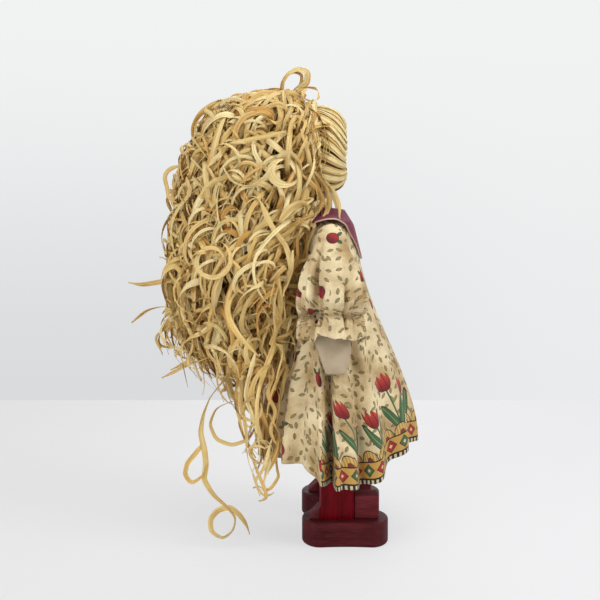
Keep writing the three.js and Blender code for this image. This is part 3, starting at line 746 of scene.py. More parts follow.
def weave_group():
    """Plain weave: crossing threads with a slightly uneven height, and slubs of tone."""
    tree, (place, threads), end = new_group(
        "plain_weave", {"Vector": "Vector", "Threads": "Float"}, {"Height": "Float", "Tone": "Float"}
    )
    across, along, _ = parts(place)
    crossing = calc("SINE", across * threads) * calc("SINE", along * threads)
    slubs, broad = noise(place, 420.0, 3.0), noise(place, 34.0, 2.0)
    fill(end.inputs, (slubs * 0.8 + crossing, ramp(slubs * 0.14 + broad * 0.86, 0.32, 0.68)))
    return tree


def cell_frame(place, cell, randomness):
    """Scattered places: millimetres from the nearest one, and two random numbers of its own."""
    scaled = vector_calc("SCALE", place, 1000.0 / cell)
    nearest, chance = put(
        place.tree, "TexVoronoi", {"voronoi_dimensions": "2D", "feature": "F1"}, ("Position", "Color"),
        Vector=scaled, Scale=1.0, Randomness=randomness,
    )
    apart = vector_calc("SCALE", vector_calc("SUBTRACT", scaled, nearest), float(cell))
    return apart, put(place.tree, "SeparateColor", (), (0, 1), Color=chance)


def rotated(place, angle):
    """The measures of a place after a turn."""
    return parts(put(place.tree, "VectorRotate", {"rotation_type": "Z_AXIS"}, Vector=place, Angle=angle))


def leaf(place, angle, start, half_long, half_wide):
    """A pointed leaf on a line from a place: how far inside its rim a point lies, and its midrib."""
    along, aside, _ = rotated(place, angle)
    share = (along - start) / half_long
    return (1.0 - share * share) * half_wide - abs(aside), abs(aside) < LEAF_RIB


def tossed_print_group():
    """A tossed print: small outlined leaves and here and there a round red fruit with two green leaves."""
    tree, (place, ground, lowest), end = new_group(
        "tossed_print", {"Vector": "Vector", "Ground": "Color", "Lowest": "Float"}, {"Color": "Color"}
    )
    spot, (turn, left_out) = cell_frame(place, 7.9, 0.5)
    inside, rib = leaf(spot, turn * (2 * math.pi), 0.0, 2.7, 1.35)
    inside = inside - (left_out > 0.84) * 9.0
    pair_spot, (pair_turn, _) = cell_frame(place, 21.0, 0.55)
    for lean in (0.6, -0.6):
        twin, twin_rib = leaf(pair_spot, pair_turn * (2 * math.pi) + lean, 2.9, 2.6, 1.25)
        rib = calc("MAXIMUM", rib * (twin < 0.0), twin_rib * (twin > 0.0))
        inside = calc("MAXIMUM", inside, twin)

    fruit_spot, (fruit_turn, fruit_chance) = cell_frame(place, 37.0, 0.72)
    tilt = fruit_turn * (2 * math.pi)
    far = vector_calc("LENGTH", fruit_spot)
    middle_x, middle_y, _ = parts(vector_calc("MULTIPLY_ADD", fruit_spot, (-0.001, -0.001, 0), place))
    above_hem = FAN_REACH - length(middle_x, FAN_REACH - middle_y)
    allowed = calc("MAXIMUM", above_hem > lowest, middle_x > FRONT_PANEL_END)
    has_fruit = (fruit_chance < 0.88) * allowed

    on_leaf = ramp(inside, -0.06, 0.06) * (1.0 - (far < 8.6) * has_fruit)
    filled = ramp(inside, 0.28, 0.42) * (1.0 - rib)
    colour = tint(on_leaf * 0.9, ground, tint(filled, srgb(52, 42, 22), srgb(154, 136, 84)))
    for lean in (0.62, -0.5):
        green, vein = leaf(fruit_spot, tilt + lean, 6.2, 2.9, 1.6)
        lit = tint(ramp(green, 0.25, 0.45) * (1.0 - vein), srgb(34, 44, 34), srgb(70, 98, 66))
        colour = tint(ramp(green, -0.06, 0.06) * has_fruit, colour, lit)
    shine_x, shine_y, _ = rotated(fruit_spot, tilt)
    skin = tint(ramp(shine_x * 0.5 + shine_y * 0.6, -2.6, 2.6), srgb(88, 12, 18), srgb(156, 36, 36))
    skin = tint(ramp(far, 4.2, 4.65), skin, srgb(50, 10, 16))
    fill(end.inputs, [tint(ramp(far, 5.0, 4.8) * has_fruit, colour, skin)])
    return tree


WEAVE = weave_group()
TOSSED = tossed_print_group()
COTTON_DARK, COTTON_LIGHT = srgb(172, 140, 90), srgb(238, 221, 179)


def printed_cotton(name, bordered):
    """Tea-coloured cotton with the tossed print, soft creases, and the border where it has one."""
    made, tree, shader = new_material(name, 0.86, {"Sheen Weight": 0.08, "Sheen Roughness": 0.5})
    where = put(tree, "UVMap", {"uv_map": "cloth"})
    height, tone = grouped(tree, WEAVE, ("Height", "Tone"), Vector=where, Threads=8500.0)
    cut = put(tree, "UVMap", {"uv_map": "fan"}) if bordered else where
    lowest = FRUIT_LOWEST if bordered else -1.0
    ground = tint(tone, COTTON_DARK, COTTON_LIGHT)
    colour = grouped(tree, TOSSED, "Color", Vector=cut, Ground=ground, Lowest=lowest)
    finish(shader, Base_Color=hem_border(where, colour) if bordered else colour)
    hang = put(tree, "Mapping", Vector=where, Scale=(1.0, 0.45, 1.0))
    crumple = noise(hang, 62.0, 1.6, Distortion=0.8)
    soft = put(tree, "Bump", Height=crumple, Strength=0.5, Distance=0.004)
    bump(shader, height, 0.25, 0.00012, Normal=soft)
    return made


def hem_border(where, cloth):
    """A printed border of the front panel: a dark edge, a gold band of diamonds, scallops and tulips."""
    across, up = (measure * 1000.0 for measure in parts(where)[:2])
    front = across < 1000.0 * FRONT_PANEL_END

    def repeat(pitch, shift=0.0):
        """Millimetres from the middle of the nearest repeat, and whether its number is odd."""
        turns = across / pitch + shift
        number = calc("FLOOR", turns)
        return (turns - number - 0.5) * pitch, abs(calc("MODULO", number, 2.0))

    def band(low, high):
        """A level stripe."""
        return (up > low) * (up < high)

    def oval(dx, dy, half_wide, half_high):
        """How far inside an oval a point lies: one in its middle, zero on its rim."""
        return 1.0 - length(dx / half_wide, dy / half_high)

    ink, gold = srgb(40, 32, 28), srgb(196, 152, 74)
    red, green = srgb(164, 40, 40), srgb(66, 98, 62)
    flower_x, low_flower = repeat(31.0, 0.3)
    height = up - (low_flower * -12.0 + 61.0)
    aside = abs(flower_x)
    stem = (aside < 0.7) * (height < -4.0) * band(14.0, 70.0)
    lean = aside - (up * 0.42 - 8.0)
    blade = oval(lean, up - 32.0, 3.6, 13.0)
    points = abs(calc("SINE", flower_x * 0.62))
    cup = calc("MINIMUM", oval(flower_x, height, 7.6, 9.0) * 7.0, points * 4.4 + 1.2 - height)
    petal = tint(ramp(height, -7.0, 5.0), srgb(126, 24, 30), srgb(196, 66, 50))
    scallop_x, _ = repeat(15.5, 0.1)
    scallop = oval(scallop_x, up - 17.0, 7.6, 8.4)
    above = up > 17.0
    rays = calc("SINE", scallop_x * 2.4) > 0.0
    diamond_x, odd_diamond = repeat(12.4)
    diamond = abs(diamond_x) / 5.4 + abs(up - 10.2) / 5.2
    dash_x, _ = repeat(4.2)
    layers = (
        (stem, green),
        (blade > 0.0, ink),
        (blade > 0.13, green),
        ((blade > 0.2) * (abs(lean) < 0.35), srgb(128, 148, 96)),
        (cup > 0.0, ink),
        (cup > 0.55, petal),
        ((abs(aside - 2.5) < 0.28) * (cup > 0.9), srgb(84, 14, 20)),
        ((scallop > 0.0) * above, ink),
        ((scallop > 0.09) * above, tint(rays, srgb(208, 176, 104), srgb(178, 138, 70))),
        ((scallop > 0.62) * above, srgb(120, 54, 34)),
        (band(3.4, 17.0), ink),
        (band(4.4, 16.0), gold),
        (diamond < 1.0, ink),
        (diamond < 0.84, tint(odd_diamond, red, green)),
        (diamond < 0.3, srgb(214, 196, 150)),
        (band(-2.0, 3.4), ink),
        ((abs(dash_x) < 1.05) * band(-2.0, 3.0), srgb(212, 198, 160)),
    )
    return painted_over(cloth, ((share * front, paint) for share, paint in layers))


smock_cotton = printed_cotton("smock_cotton", True)
sleeve_cotton = printed_cotton("sleeve_cotton", False)

angles = np.radians(np.arange(0, 360, 1.0))
levels = np.concatenate([np.linspace(-1, 0, 20), np.linspace(0, 1, 100)[1:]])
skin = eased(smock_point(angles[None, :], levels[:, None]), SMOCK_EASING)
skin = np.concatenate([neck_rows(skin[0], GATHER_RADIUS, GATHER_HEIGHT), skin])
round_front = np.cumsum(steps_round(skin) / 1000, axis=1)
round_front = np.concatenate([np.zeros((len(skin), 1)), round_front], axis=1)
up_from_hem = up_from_edge(skin)


def smock_map(row, col, face_col):
    """Metres round the panel from its middle and up from the hem; the back panel lies apart."""
    run = round_front[row, column_read(col, face_col)]
    if face_col >= 360 - SEAM_ANGLE:
        run -= round_front[row, -1]
    elif face_col >= SEAM_ANGLE:
        run = BACK_PANEL + run - round_front[row, 180]
    return run, up_from_hem[row, col]


def smock_fan(row, col, face_col):
    """The same place on the panel's cut, which is a fan, so that the tossed print isn't sheared."""
    run, up = smock_map(row, col, face_col)
    apart = BACK_PANEL if run > FRONT_PANEL_END else 0.0
    reach = FAN_REACH - up
    turn = (run - apart) / reach
    return apart + reach * math.sin(turn), FAN_REACH - reach * math.cos(turn)


smock = sheet_mesh("smock", to_frame(skin), {"cloth": smock_map, "fan": smock_fan}, True)
thicken(smock, CLOTH_THICKNESS)
dress_up(smock, smock_cotton, "figure", "smock_cotton", "dress")

# Collar
# A burgundy cotton collar cut in one piece, pointed in front and longer behind. It lies on the smock, its
# outer edge is turned and stitched, and at the shoulders it stands over the sleeves.
COLLAR_FRONT, COLLAR_BACK, COLLAR_SIDE = 0.15, 0.27, 0.06
COLLAR_OVERHANG, COLLAR_LIFT, COLLAR_THICKNESS = 6.0, 3.4, 0.0011
COLLAR_EASING, COLLAR_NECK_RADIUS, COLLAR_NECK_HEIGHT = 24, 7.9, 260.2
collar_shares = np.linspace(0, 1, 40)


def off_smock(angle, along, distance):
    """Points on the plain smock moved out from its surface."""
    step = 0.01
    around = smock_point(angle + step, along, False) - smock_point(angle - step, along, False)
    down = smock_point(angle, along + step, False) - smock_point(angle, along - step, False)
    normal = np.cross(down, around)
    normal /= np.linalg.norm(normal, axis=-1, keepdims=True)
    return smock_point(angle, along, False) + normal * np.asarray(distance)[..., None]


def collar_point(angle, share):
    """Points on the collar's face, from the neck at 0 to its stitched edge at 1."""
    front = np.maximum(np.cos(angle), 0) ** 2 * COLLAR_FRONT
    back = np.maximum(-np.cos(angle), 0) ** 2 * COLLAR_BACK
    reach = front + back - COLLAR_SIDE * np.sin(angle) ** 2
    loose = 0.5 * np.sin(9 * angle + 1.0) * share**2
    points = off_smock(angle, -1 + share * (1 + reach), 2.0 + loose)
    stand = np.sin(angle) ** 14 * step_between(share, 0.5, 1.0)
    points[..., 0] += np.sign(np.sin(angle)) * COLLAR_OVERHANG * stand
    points[..., 2] += COLLAR_LIFT * stand
    return points


def collar_cloth():
    """Burgundy cotton with a stitched edge and a paler rim, a painted highlight where the edge catches the
    light.
    """
    made, tree, shader = new_material("collar_cotton", 0.72, {
        "Sheen Weight": 0.08, "Sheen Roughness": 0.4, "Sheen Tint": srgb(220, 130, 170),
    })
    where = put(tree, "UVMap", {"uv_map": "cloth"})
    height, tone = grouped(tree, WEAVE, ("Height", "Tone"), Vector=where, Threads=9500.0)
    along, up, _ = parts(where)
    in_row = ramp(abs(up - 0.0032), 0.00035, 0.0002)
    stitch = in_row * (calc("SINE", along * 2600.0) > -0.4)
    # Painted highlight: a pale line along the collar's edge.
    rim = ramp(up, 0.0008, 0.0003)
    ground = tint(tone, srgb(78, 8, 34), srgb(118, 18, 58))
    paints = ((stitch, srgb(158, 62, 96)), (rim, srgb(206, 176, 160)))
    finish(shader, Base_Color=painted_over(ground, paints))
    bump(shader, stitch * 3.0 + height, 0.3, 0.00015)
    return made


collar_skin = eased(collar_point(angles[None, :], collar_shares[:, None]), COLLAR_EASING)
collar_neck = neck_rows(collar_skin[0], COLLAR_NECK_RADIUS, COLLAR_NECK_HEIGHT)
collar_skin = np.concatenate([collar_neck, collar_skin])
collar_run = np.cumsum(steps_round(collar_skin), axis=1) / 1000
collar_up = up_from_edge(collar_skin)


def collar_map(row, col, face_col):
    """Metres round the collar and up from its stitched edge."""
    return collar_run[row, column_read(col, face_col)], collar_up[row, col]


collar = sheet_mesh("collar_cloth", to_frame(collar_skin), {"cloth": collar_map}, True)
thicken(collar, COLLAR_THICKNESS)
dress_up(collar, collar_cloth(), "figure", "collar_cotton", "collar")

# Sleeves and wrist ties
# Puffed sleeves of the smock's cotton, closed over the shoulder, gathered to the wrist with a doubled
# thread, and flaring below it in a short ruffle from which the hand hangs.
SLEEVE_ROWS = np.array([
    (-11.2, 3.0, 13.0), (-9.8, 6.6, 16.0), (-7.0, 9.6, 18.4), (-2.0, 11.8, 20.0), (4.0, 12.4, 21.8),
    (10.0, 14.0, 24.0), (16.0, 17.4, 25.8), (23.0, 20.8, 27.2), (31.0, 22.8, 27.8), (40.0, 23.6, 28.0),
    (47.0, 23.8, 28.0), (52.0, 23.2, 26.6), (55.5, 22.0, 22.0), (57.6, 20.8, 15.6), (59.0, 20.2, 12.4),
    (60.4, 20.8, 14.8), (63.0, 22.0, 18.8), (67.0, 23.2, 20.8), (72.0, 24.0, 21.6), (77.6, 24.4, 21.8),
])
WRIST_ALONG, WRIST_DEPTH = 59.0, 12.4
TIE_RADIUS, TIE_THREAD = 0.018, 0.00062
FAR_SLEEVE_PRINT = 0.31


def sleeve_point(turn, along):
    """Points of a sleeve in its arm's plane, in millimetres. The turn starts behind and goes outwards."""
    half = np.interp(along, SLEEVE_ROWS[:, 0], SLEEVE_ROWS[:, 1])
    depth = np.interp(along, SLEEVE_ROWS[:, 0], SLEEVE_ROWS[:, 2])
    to_wrist = np.maximum(WRIST_ALONG - along, 0)
    below = step_between(along, WRIST_ALONG, WRIST_ALONG + 14)
    above_gather, below_gather = np.exp(-((to_wrist / 13.0) ** 1.3)), np.exp(-(along - WRIST_ALONG) / 9.0)
    gathered = np.where(along <= WRIST_ALONG, above_gather, below_gather)
    gathered = gathered * (1 - 0.6 * np.exp(-(((along - WRIST_ALONG) / 1.6) ** 2)))
    pleats = 2 * np.abs(np.sin(9.5 * turn + 0.3)) ** 0.7 - 1.2 + 0.5 * np.sin(31 * turn + 1.1)
    waves = np.sin(5 * turn + 0.9) + 0.6 * np.sin(9 * turn + 2.6)
    creases = np.sin(8 * turn + 1.3) + 0.6 * np.sin(5 * turn + 0.4)
    pinch = np.exp(-(((np.angle(np.exp(1j * (turn - 1.05)))) / 0.1) ** 2))
    puffed = np.exp(-((to_wrist / 32) ** 2)) * (1 - below)
    bulge = 3.6 * pleats * gathered + 2.0 * waves * below + 1.9 * creases * puffed
    bulge = bulge - 7.2 * pinch * step_between(along, 0, 34) * (1 - 0.8 * below)
    sine, cosine = np.sin(turn), np.cos(turn)
    across = np.sign(sine) * np.abs(sine) ** 0.8
    bulge = bulge * (0.3 + 0.7 * step_between(across, -0.6, 0.2))
    sewn = 3.2 * step_between(along, 24, 8)
    x = depth / 2 * (1 + across) + bulge * across - sewn * (1 - across) / 2
    y = (half + bulge) * np.sign(cosine) * np.abs(cosine) ** 0.8
    return np.stack([np.maximum(x, 0.3 - sewn), y, 1.3 * waves * below - along + 0 * x], -1)


turns = np.radians(np.arange(0, 360, 1.5))
fine_rows = np.concatenate([
    np.linspace(-11.2, 50, 46), np.linspace(50, 68, 32)[1:], np.linspace(68, 77.6, 9)[1:],
])
sleeve_skin = sleeve_point(turns[None, :], fine_rows[:, None])
sleeve_run = np.cumsum(steps_round(sleeve_skin), axis=1) / 1000
sleeve_run = 0.1 + sleeve_run - sleeve_run[:, [len(turns) // 4]]
sleeve_drop = np.linalg.norm(np.diff(sleeve_skin, axis=0), axis=2) / 1000
sleeve_down = np.concatenate([np.zeros((1, len(turns))), np.cumsum(sleeve_drop, axis=0)])


def thread_finish():
    """Doubled cotton thread with a visible twist."""
    made, tree, shader = new_material("doubled_thread", 0.85)
    twist = noise(on_object(tree), 900.0, 2.0)
    finish(shader, Base_Color=tint(ramp(twist, 0.35, 0.65), srgb(150, 128, 84), srgb(196, 176, 130)))
    bump(shader, twist, 0.4, 0.0003)
    return made


doubled_thread = thread_finish()
for side_name, side in SIDES:
    seat = np.array(arm_place(side))
    world = sleeve_skin / 1000 @ seat[:3, :3].T + seat[:3, 3]
    shift = FAR_SLEEVE_PRINT if side > 0 else 0.0

    def sleeve_map(row, col, face_col):
        """Metres round the sleeve and along it; each sleeve has another part of the print."""
        return shift + sleeve_run[row, column_read(col, face_col)], 0.1 - sleeve_down[row, col]

    sleeve = sheet_mesh(f"sleeve_{side_name}", world, {"cloth": sleeve_map}, True)
    unselect(sleeve, "VERT")
    for index in range(len(turns)):
        sleeve.data.vertices[index].select = True
    bpy.ops.object.mode_set(mode="EDIT")
    bpy.ops.mesh.fill_grid(span=1)
    bpy.ops.object.mode_set(mode="OBJECT")
    face_outwards(sleeve)
    bpy.ops.object.shade_smooth()
    thicken(sleeve, CLOTH_THICKNESS)
    sleeve.data.materials.append(sleeve_cotton)
    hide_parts(f"{side_name}_sleeve")
    start, end = (arm_place(side) @ Vector((0.01, 0, z)) for z in (0.006, -0.03))
    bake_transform(sleeve)

    bpy.ops.mesh.primitive_torus_add(
        major_segments=144, minor_segments=8, major_radius=TIE_RADIUS, minor_radius=TIE_THREAD
    )
    tie = added(f"wrist_tie_{side_name}")
    middle = WRIST_DEPTH / 2000
    for vertex in tie.data.vertices:
        turn = math.atan2(vertex.co.y, vertex.co.x)
        away = math.hypot(vertex.co.x, vertex.co.y) - TIE_RADIUS
        twist = 0.0004 * math.sin(40 * turn)
        x, y, z = sleeve_point(np.array(turn), np.array(WRIST_ALONG)) / 1000
        push = 1 + (away + 0.0003) / 0.014
        vertex.co = ((x - middle) * push + middle, y * push, z + vertex.co.z + twist)
    tie.data.transform(arm_place(side))
    face_outwards(tie)
    bpy.ops.object.shade_smooth()
    dress_up(tie, doubled_thread, f"arm_{side_name}", "thread", f"{side_name}_wrist_tie")

# Raffia wrap over the head
# Strands of raffia laid side by side over a thin straw hood, which is painted dark as the shade in the gaps
# between the strands. They come from the crown, slant forwards and down, turn in round the face and are
# glued to the head.
WRAP_STRANDS, WRAP_SEED = 27, 41
# Degrees: reach round the face to each side, slant of the strands, and their two ends from straight ahead
WRAP_REACH, WRAP_SLANT, WRAP_BACK, WRAP_RIM = 162, 46, 118, 26
STRAND_PLIES, PLY_SPREAD, WRAP_LAYER = 9, 3.9, 2.7
HOOD_LAYER, HOOD_THICKNESS = 2.0, 0.0012
HEAD_PLACE = np.array([0.0, 22.0, 304.6])
HEAD_RADII = np.array([30.0, 28.0, 33.0])


def unit(vectors):
    """Vectors of length one."""
    return vectors / (np.linalg.norm(vectors, axis=-1, keepdims=True) + 1e-9)


def ribbon(points, facing, widths, thickness=0.35, cup=0.12):
    """One flat ribbon along a path: rings of four points, with its length so far."""
    along = unit(np.gradient(points, axis=0))
    aside = unit(np.cross(facing, along))
    face = np.cross(along, aside)
    half = (widths / 2)[:, None]
    rise = points + face * (thickness / 2 + half * cup)
    sink = points + face * (-thickness / 2 + half * cup)
    return np.stack([points - aside * half, rise, points + aside * half, sink], 1), run_along(points)


def raffia_piece(name, node, ribbons, tones):
    """Many ribbons as one piece, each with a map along it and a tone of its own."""
    points, faces, uvs, shades = [], [], [], []
    start = 0
    across = np.array([0.0, 0.5, 1.0, 0.5])
    for (rings, run), tone in zip(ribbons, tones):
        count = len(rings)
        points.append(rings.reshape(-1, 3))
        shades.append(np.full(count * 4, tone))
        row, col = np.meshgrid(np.arange(count - 1), np.arange(4), indexing="ij")
        nxt = (col + 1) % 4
        quad = np.stack([row * 4 + col, (row + 1) * 4 + col, (row + 1) * 4 + nxt, row * 4 + nxt], -1)
        ends = np.array([[0, 1, 2, 3], [count * 4 - 1, count * 4 - 2, count * 4 - 3, count * 4 - 4]])
        quad = np.concatenate([quad.reshape(-1, 4), ends])
        faces.append(quad + start)
        long = np.repeat(run, 4) / 1000 + tone * 7.0
        uvs.append(np.stack([np.tile(across, count), long], -1)[quad.reshape(-1)])
        start += count * 4
    obj = new_object(name, to_frame(np.concatenate(points)).tolist(), np.concatenate(faces).tolist())
    mesh = obj.data
    layer = mesh.uv_layers.new(name="ribbon")
    layer.data.foreach_set("uv", np.concatenate(uvs).astype(np.float32).ravel())
    shade = mesh.attributes.new("shade", "FLOAT", "POINT")
    shade.data.foreach_set("value", np.concatenate(shades).astype(np.float32))
    smooth_by_angle(obj, 60)
    ends = np.zeros(2 * len(mesh.edges), int)
    mesh.edges.foreach_get("vertices", ends)
    lengthwise = np.abs(np.diff(ends.reshape(-1, 2), axis=1)[:, 0]) == 4
    crease = mesh.attributes.get("sharp_edge") or mesh.attributes.new("sharp_edge", "BOOLEAN", "EDGE")
    crease.data.foreach_set("value", lengthwise)
    dress_up(obj, dry_raffia, "figure", "raffia", node)


def raffia_finish():
    """Dry raffia: straw colours that differ from ribbon to ribbon, with fibres along each. The low tones are
    dark browns, painted shade for the ribbons that lie deep in the hair.
    """
    made, tree, shader = new_material("dry_raffia", 0.55, {"Specular IOR Level": 0.4})
    tone = put(tree, "Attribute", {"attribute_name": "shade"}, "Fac")
    where = put(tree, "UVMap", {"uv_map": "ribbon"})
    own = put(tree, "TexWhiteNoise", {"noise_dimensions": "1D"}, W=tone * 913.0)

    def drawn_out(across, along, scale, detail):
        """Noise over a ribbon, drawn out along it."""
        run = put(tree, "Mapping", Vector=where, Scale=(across, along, 1.0))
        return put(tree, "TexNoise", {"noise_dimensions": "2D"}, Vector=run, Scale=scale, Detail=detail)

    fibres = drawn_out(5.0, 22.0, 2.2, 6.0)
    streaks = drawn_out(2.6, 14.0, 1.3, 2.0)
    stain = drawn_out(0.4, 40.0, 1.0, 3.0)
    # Painted shade: the lowest tones are a dark, saturated brown.
    straw = tint(ramp(tone, 0.0, 0.4), srgb(158, 98, 26), srgb(198, 148, 66))
    straw = painted_over(straw, (
        (ramp(tone, 0.4, 0.7), srgb(222, 188, 112)),
        (ramp(tone, 0.7, 1.0), srgb(244, 226, 168)),
        (ramp(own, 0.55, 1.0) * 0.6, srgb(212, 190, 126)),
        (ramp(fibres, 0.56, 0.36) * 0.22, srgb(166, 120, 62)),
        (ramp(streaks, 0.5, 0.3) * 0.4, srgb(160, 114, 56)),
        (ramp(streaks, 0.54, 0.7) * 0.3, srgb(248, 232, 180)),
        (ramp(stain, 0.6, 0.74) * 0.35, srgb(178, 126, 64)),
    ))
    finish(shader, Base_Color=straw, Roughness=ramp(fibres, 0.3, 0.7, 0.42, 0.64))
    bump(shader, streaks * 2.0 + fibres, 0.35, 0.0003)
    return made


dry_raffia = raffia_finish()


def on_head(turn, open_angle, layer):
    """A point on a layer round the head, blunt in front. The turn runs round the face from its top over the
    left side, and the open angle is counted from straight ahead."""
    turn, open_angle = np.broadcast_arrays(turn, open_angle)
    blunt = np.where(open_angle < math.pi / 2, 0.58, 1.0)
    wide = np.abs(np.sin(open_angle)) ** blunt
    ahead = np.sign(np.cos(open_angle)) * np.abs(np.cos(open_angle)) ** blunt
    round_face = np.stack([np.sin(turn) * wide, -ahead, np.cos(turn) * wide], -1)
    return HEAD_PLACE + round_face * (HEAD_RADII + np.asarray(layer)[..., None])


def wrap_strand(rng, turn, slant, layer, width):
    """One ribbon of a strand, from the back of the head forwards to the face and in under the rim."""
    back = math.radians(WRAP_BACK + rng.uniform(-8, 8))
    rim = math.radians(WRAP_RIM + rng.uniform(-1.5, 1.5))
    share = np.linspace(0, 1, 44)
    forward = np.minimum(share / 0.86, 1)
    tuck = np.clip((share - 0.86) / 0.14, 0, 1)
    open_angle = back + (rim - back) * forward ** 0.85
    fallen = slant * (1 - forward) ** 1.2 * np.sin(turn)
    points = on_head(turn - fallen, open_angle, layer + 0.35 * np.sin(share * 9 + turn * 5))
    middle = np.array([0.0, points[-1, 1], HEAD_PLACE[2]])
    points = points + (middle - points) * (0.2 * np.sin(tuck * math.pi / 2))[:, None]
    points[:, 1] += 3.4 * tuck**2.2
    outward = points - HEAD_PLACE
    facing = outward / np.linalg.norm(outward, axis=1, keepdims=True)
    facing = facing * (1 - 0.9 * tuck[:, None]) + np.array([0.0, -1.0, 0.0]) * tuck[:, None]
    return ribbon(points, facing, width * (1 - 0.2 * tuck), 0.5, 0.16)


rng = np.random.default_rng(WRAP_SEED)
wrap_ribbons, wrap_tones = [], []
for strand in range(WRAP_STRANDS):
    middle = math.radians(-WRAP_REACH + 2 * WRAP_REACH * (strand + 0.5) / WRAP_STRANDS)
    slant = math.radians(WRAP_SLANT + rng.uniform(-4, 4))
    for ply in np.linspace(-1, 1, STRAND_PLIES):
        turn = middle + math.radians(ply * PLY_SPREAD + rng.uniform(-0.7, 0.7))
        lift = 1.5 * (1 - ply**2) + rng.uniform(-0.35, 0.35)
        width = rng.uniform(1.2, 2.4)
        wrap_ribbons.append(wrap_strand(rng, turn, slant, WRAP_LAYER + lift, width))
        # Painted light and shade: the raised middle plies of a strand get lighter tones, the low plies at
        # its sides darker ones.
        wrap_tones.append(float(np.clip(0.38 + 0.34 * lift + rng.uniform(-0.15, 0.25), 0, 1)))
raffia_piece("hair_wrap_strands", "hair_wrap", wrap_ribbons, wrap_tones)


def shaded_hood_finish():
    """Straw packed under the strands, painted dark as the shade between them."""
    made, tree, shader = new_material("straw_painted_in_shade", 0.8)
    tone, height = grouped(tree, BRUSH, ("Tone", "Height"), Vector=on_object(tree), Fineness=420.0)
    # Painted shade: dark browns, so that the gaps between the strands read as shade.
    finish(shader, Base_Color=tint(tone, srgb(70, 44, 16), srgb(124, 88, 44)))
    bump(shader, height, 0.5, 0.0008)
    return made


def hood_map(row, col, face_col):
    """Metres round the face and back from it, roughly."""
    return hood_turns[col] * 0.4, hood_open[row] * 0.03


hood_turns = np.radians(np.linspace(-158, 158, 72))
hood_open = np.radians(np.linspace(30, 172, 48))
hood_skin = on_head(hood_turns[None, :], hood_open[:, None], np.full((48, 72), HOOD_LAYER))
hood = sheet_mesh("hair_hood", to_frame(hood_skin), {"cloth": hood_map}, False)
thicken(hood, HOOD_THICKNESS)
hood.data.materials.append(shaded_hood_finish())
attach(hood, "figure")

# Raffia hanks
# Nine hanks of curled raffia tied at the crown. They fall back and to the sides as one deep tangle of
# flat ribbons, most of them waved, and the outer ones in long open curls.
HANK_COUNT, HANK_SWEEP, HANK_SEED = 9, 264.0, 700
HANK_ENDS = (104, 44, 92, 112, 118, 112, 96, 58, 104)
HANK_MASS_END, HANK_LOWEST, LAID_LIFT = 136, 40, 6.0
# Ribbons of a hank, counted from the inside: the last packed, waved and coiled one, and the last thin tail
PACKED, WAVED, COILED, TAILS = 38, 68, 83, 96
# Each row: height, middle behind the legs, half width and half depth
HAIR_ROWS = np.array([
    (349, 36, 8, 8), (350, 45, 26, 20), (340, 52, 37, 33), (325, 60, 50, 49), (298, 66, 57, 57),
    (270, 69, 60, 62), (220, 71, 62, 62), (180, 72, 61, 60), (150, 72, 60, 53), (122, 67, 61, 38),
    (100, 60, 63, 26), (40, 50, 65, 16),
], float)
HAIR_RUN = run_along(np.stack([HAIR_ROWS[:, 1] + HAIR_ROWS[:, 3], HAIR_ROWS[:, 0]], 1))
# Room that the hair leaves: round the head, over the smock and more at its hem, where the arms swing
# and over the floor
HEAD_ROOM, SMOCK_ROOM, HEM_ROOM, SWING_ROOM, FLOOR_ROOM = 8.0, 4.2, 1.5, 4.6, 3.0
# Places in millimetres: where the side of the head ends, the hem's level and the arm's pivot
HEAD_SIDE_END, HEM_LEVEL = 36, 55.0
ARM_ACROSS, ARM_BACK, ARM_HEIGHT = 43.5, 5, 232.1
# Each row: distance down the arm and half depth of the sleeve or hand there
SLEEVE_ROOM = np.array([
    (-14, 6.0), (0, 12.5), (10, 15), (23, 21.5), (40, 24), (59, 19), (66, 23.5), (78, 25.5),
    (80, 15), (104, 15),
])


